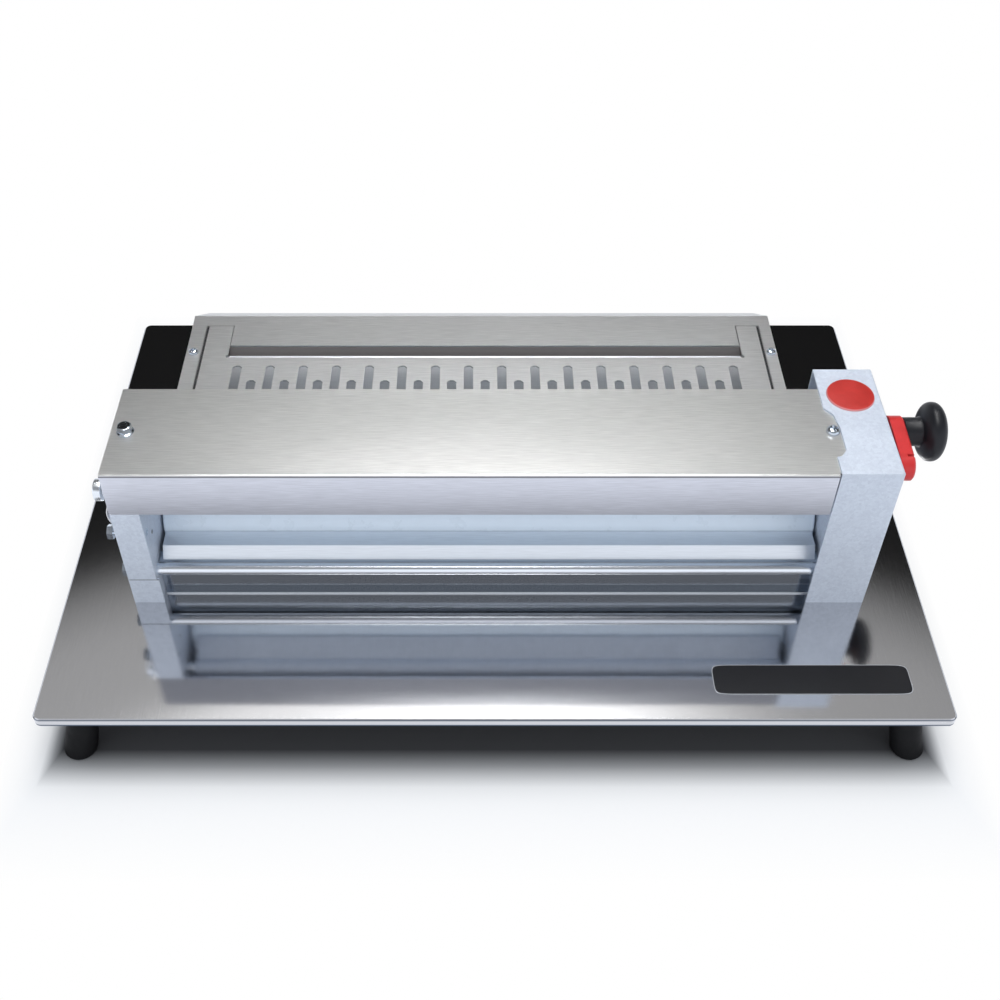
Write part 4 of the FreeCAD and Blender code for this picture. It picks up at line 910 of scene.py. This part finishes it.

# %% [markdown]
# A pale floor carries the shadow. Away from the machine it turns to plain white for the camera and for
# reflections, so the ground stays as quiet as the photograph's. Near the edge of the worktop it is an
# ordinary pale surface that shows the shadow, and right under the worktop a painted shadow makes its colour
# dark.

# %% Floor
floor_half = 6.0
floor_mesh = bpy.data.meshes.new("floor")
floor_mesh.from_pydata([(-floor_half, -floor_half, 0), (floor_half, -floor_half, 0),
                        (floor_half, floor_half, 0), (-floor_half, floor_half, 0)], [], [(0, 1, 2, 3)])
floor = bpy.data.objects.new("floor", floor_mesh)
bpy.context.scene.collection.objects.link(floor)
floor_finish = Finish("pale_floor", 0.0, 0.9)
floor_x, floor_y = floor_finish.parts(floor_finish.place())[:2]
depth_share = 0.4
painted_shadow_edge = (-5 * MM, 6 * MM)
shadow_reach = 32 * MM
past_side = abs(floor_x) - float(table_high[0])
past_front = abs(floor_y) - float(table_high[1])
outside = past_side.highest(past_front * depth_share)
# Painted shadow: the floor's colour is dark under the worktop.
painted_shadow_under = floor_finish.ramp(outside, *painted_shadow_edge)
floor_finish.put("Base Color", floor_finish.mix(painted_shadow_under, (0.07, 0.07, 0.073), (0.9, 0.9, 0.9)))
rays = floor_finish.node("ShaderNodeLightPath", {}, {})
camera_ray, glossy_ray, clear_ray = (
    Wire(floor_finish, rays.socket.node.outputs[name])
    for name in ("Is Camera Ray", "Is Glossy Ray", "Is Transmission Ray"))
seen = camera_ray.highest(glossy_ray).highest(clear_ray)
share = seen * floor_finish.ramp(outside, 0.0, shadow_reach)
glow = floor_finish.mix(camera_ray, (0.94, 0.97, 1.04), (1, 1, 1))
white = floor_finish.node("ShaderNodeEmission", {}, {"Color": glow, "Strength": 1.0})
surface = Wire(floor_finish, floor_finish.surface.outputs[0])
ground = floor_finish.node("ShaderNodeMixShader", {}, {0: share, 1: surface, 2: white})
floor_finish.join(floor_finish.tree.nodes["Material Output"].inputs["Surface"], ground)
floor_mesh.materials.append(floor_finish.material)
print("floor ready")

# %% [markdown]
# Polished steel shows what stands round it, so the world is a small studio. A flat world would leave the
# steel grey and dead. The camera looks down, so the worktop and the hood reflect a band of the back wall:
# dark from 32 to 46 degrees, which turns the worktop nearly black behind the rollers, then grey. Above it
# hangs a softbox with a bright core, whose blurred reflection is the pale middle of the hood. The front of
# the room is faintly blue. Seen straight it is white, and as a light it is soft and mostly from above.

# %% Room
world = bpy.data.worlds.new("studio")
bpy.context.scene.world = world
world.use_nodes = True
room = Graph(world.node_tree)
direction = room.node("ShaderNodeTexCoord", {}, {}, "Generated")
way_x, way_y, way_z = room.parts(direction)


def sine(degrees):
    return math.sin(math.radians(degrees))


def rise(low_degrees, high_degrees, start, end):
    """A level that changes from start to end between two heights above the horizon."""
    return room.ramp(way_z, sine(low_degrees), sine(high_degrees), start, end)


dark_level = 0.012
foot_level = 0.26
middle_level = 0.19
shaded_side = 0.82
edge_level = 0.75
core_level = 30.0
core_middle = 0.02
above_core = 0.03
low_level = 0.42
front_low_level = 1.05
front_high_level = 0.24
wall_foot = rise(46.1, 47.2, dark_level, foot_level)
wall_middle = rise(47.2, 49.2, 0.0, middle_level)
right_shade = room.ramp(way_x, 0.15, 0.5, 1.0, shaded_side)
softbox_sides = room.ramp(way_x, -0.31, -0.22) * room.ramp(way_x, 0.12, 0.26, 1.0, 0.0)
softbox_edge = rise(52.8, 53.8, 0.0, edge_level) * softbox_sides
core_sides = room.ramp(abs(way_x - core_middle), 0.02, 0.17, 1.0, 0.0)
core_top = rise(61.0, 65.0, 1.0, above_core)
softbox_core = rise(56.2, 57.5, 0.0, core_level) * core_sides * core_top
low_wall = rise(16.0, 32.0, low_level, 0.0)
back_wall = (wall_foot + wall_middle) * right_shade + low_wall + softbox_edge + softbox_core
front_wall = rise(27.0, 40.0, front_low_level, front_high_level)
in_front = room.ramp(way_y, -0.05, -0.25)


def tinted(level, tint):
    """A grey level with a slight tint, as a colour."""
    return room.node("ShaderNodeCombineXYZ", {}, {k: level * tint[k] for k in range(3)})


mirrored = room.mix(in_front, tinted(back_wall, (1.0, 1.0, 1.0)), tinted(front_wall, (0.93, 0.96, 1.03)))
ceiling = rise(30.0, 65.0, 0.05, 0.95)
front_glow = rise(35.0, 50.0, 1.0, 0.0) * in_front
daylight = tinted(ceiling + front_glow, (0.95, 1.0, 1.07))
paths = room.node("ShaderNodeLightPath", {}, {})
room_camera, room_glossy = (
    Wire(room, paths.socket.node.outputs[name]) for name in ("Is Camera Ray", "Is Glossy Ray"))
seen_room = room.mix(room_glossy, daylight, mirrored)
seen_room = room.mix(room_camera, seen_room, (1, 1, 1))
room.join(room.tree.nodes["Background"].inputs["Color"], seen_room)
print("room ready")

# %% [markdown]
# One large soft lamp hangs over the machine, a little behind it. It lights every face that looks up and
# gives the shadow its soft edge. The room's own light fills the rest, so a single lamp is enough.


# %% Lamp
lamp_target = (0.0, 0.0, 0.1)
lamp_place = (0.03, 0.12, 1.90)
lamp_size = (0.70, 1.3)
lamp_power = 14


def soft_lamp(name, place, size, power):
    """An area lamp, its width along X and its depth away from the camera, turned towards the machine."""
    lamp = bpy.data.lights.new(name, "AREA")
    lamp.shape = "RECTANGLE"
    lamp.size, lamp.size_y = size
    lamp.energy = power
    holder = bpy.data.objects.new(name, lamp)
    holder.location = place
    aim = np.array(lamp_target) - np.array(place)
    holder.rotation_euler = (math.atan2(math.hypot(aim[0], aim[1]), -aim[2]), 0,
                             math.atan2(aim[0], -aim[1]) + math.pi)
    bpy.context.scene.collection.objects.link(holder)


soft_lamp("overhead", lamp_place, lamp_size, lamp_power)
print("lamps:", len(bpy.data.lights))

# %% [markdown]
# The camera was found from the vanishing points of the worktop: it looks down by 45.7 degrees from 642 mm
# above the worktop. The lens is shifted a little sideways, because the machine doesn't stand on its axis.

# %% Camera
lens_angle_down = 45.7
lens_in_pixels = 1273
picture_width = 1000
sensor_width = 36.0
sideways_shift = 0.025
near_limit = 0.01
camera_x = -12 * MM
camera_y = -633.5 * MM
camera_height = 642 * MM
camera_data = bpy.data.cameras.new("camera")
camera_data.sensor_width = sensor_width
camera_data.lens = lens_in_pixels / picture_width * sensor_width
camera_data.shift_x = sideways_shift
camera_data.clip_start = near_limit
camera = bpy.data.objects.new("camera", camera_data)
camera.location = (camera_x, camera_y, table_z + camera_height)
camera.rotation_euler = (math.radians(90 - lens_angle_down), 0, 0)
bpy.context.scene.collection.objects.link(camera)
bpy.context.scene.camera = camera
bpy.context.scene.view_settings.view_transform = "Standard"
print("camera lens, mm:", round(camera_data.lens, 2))
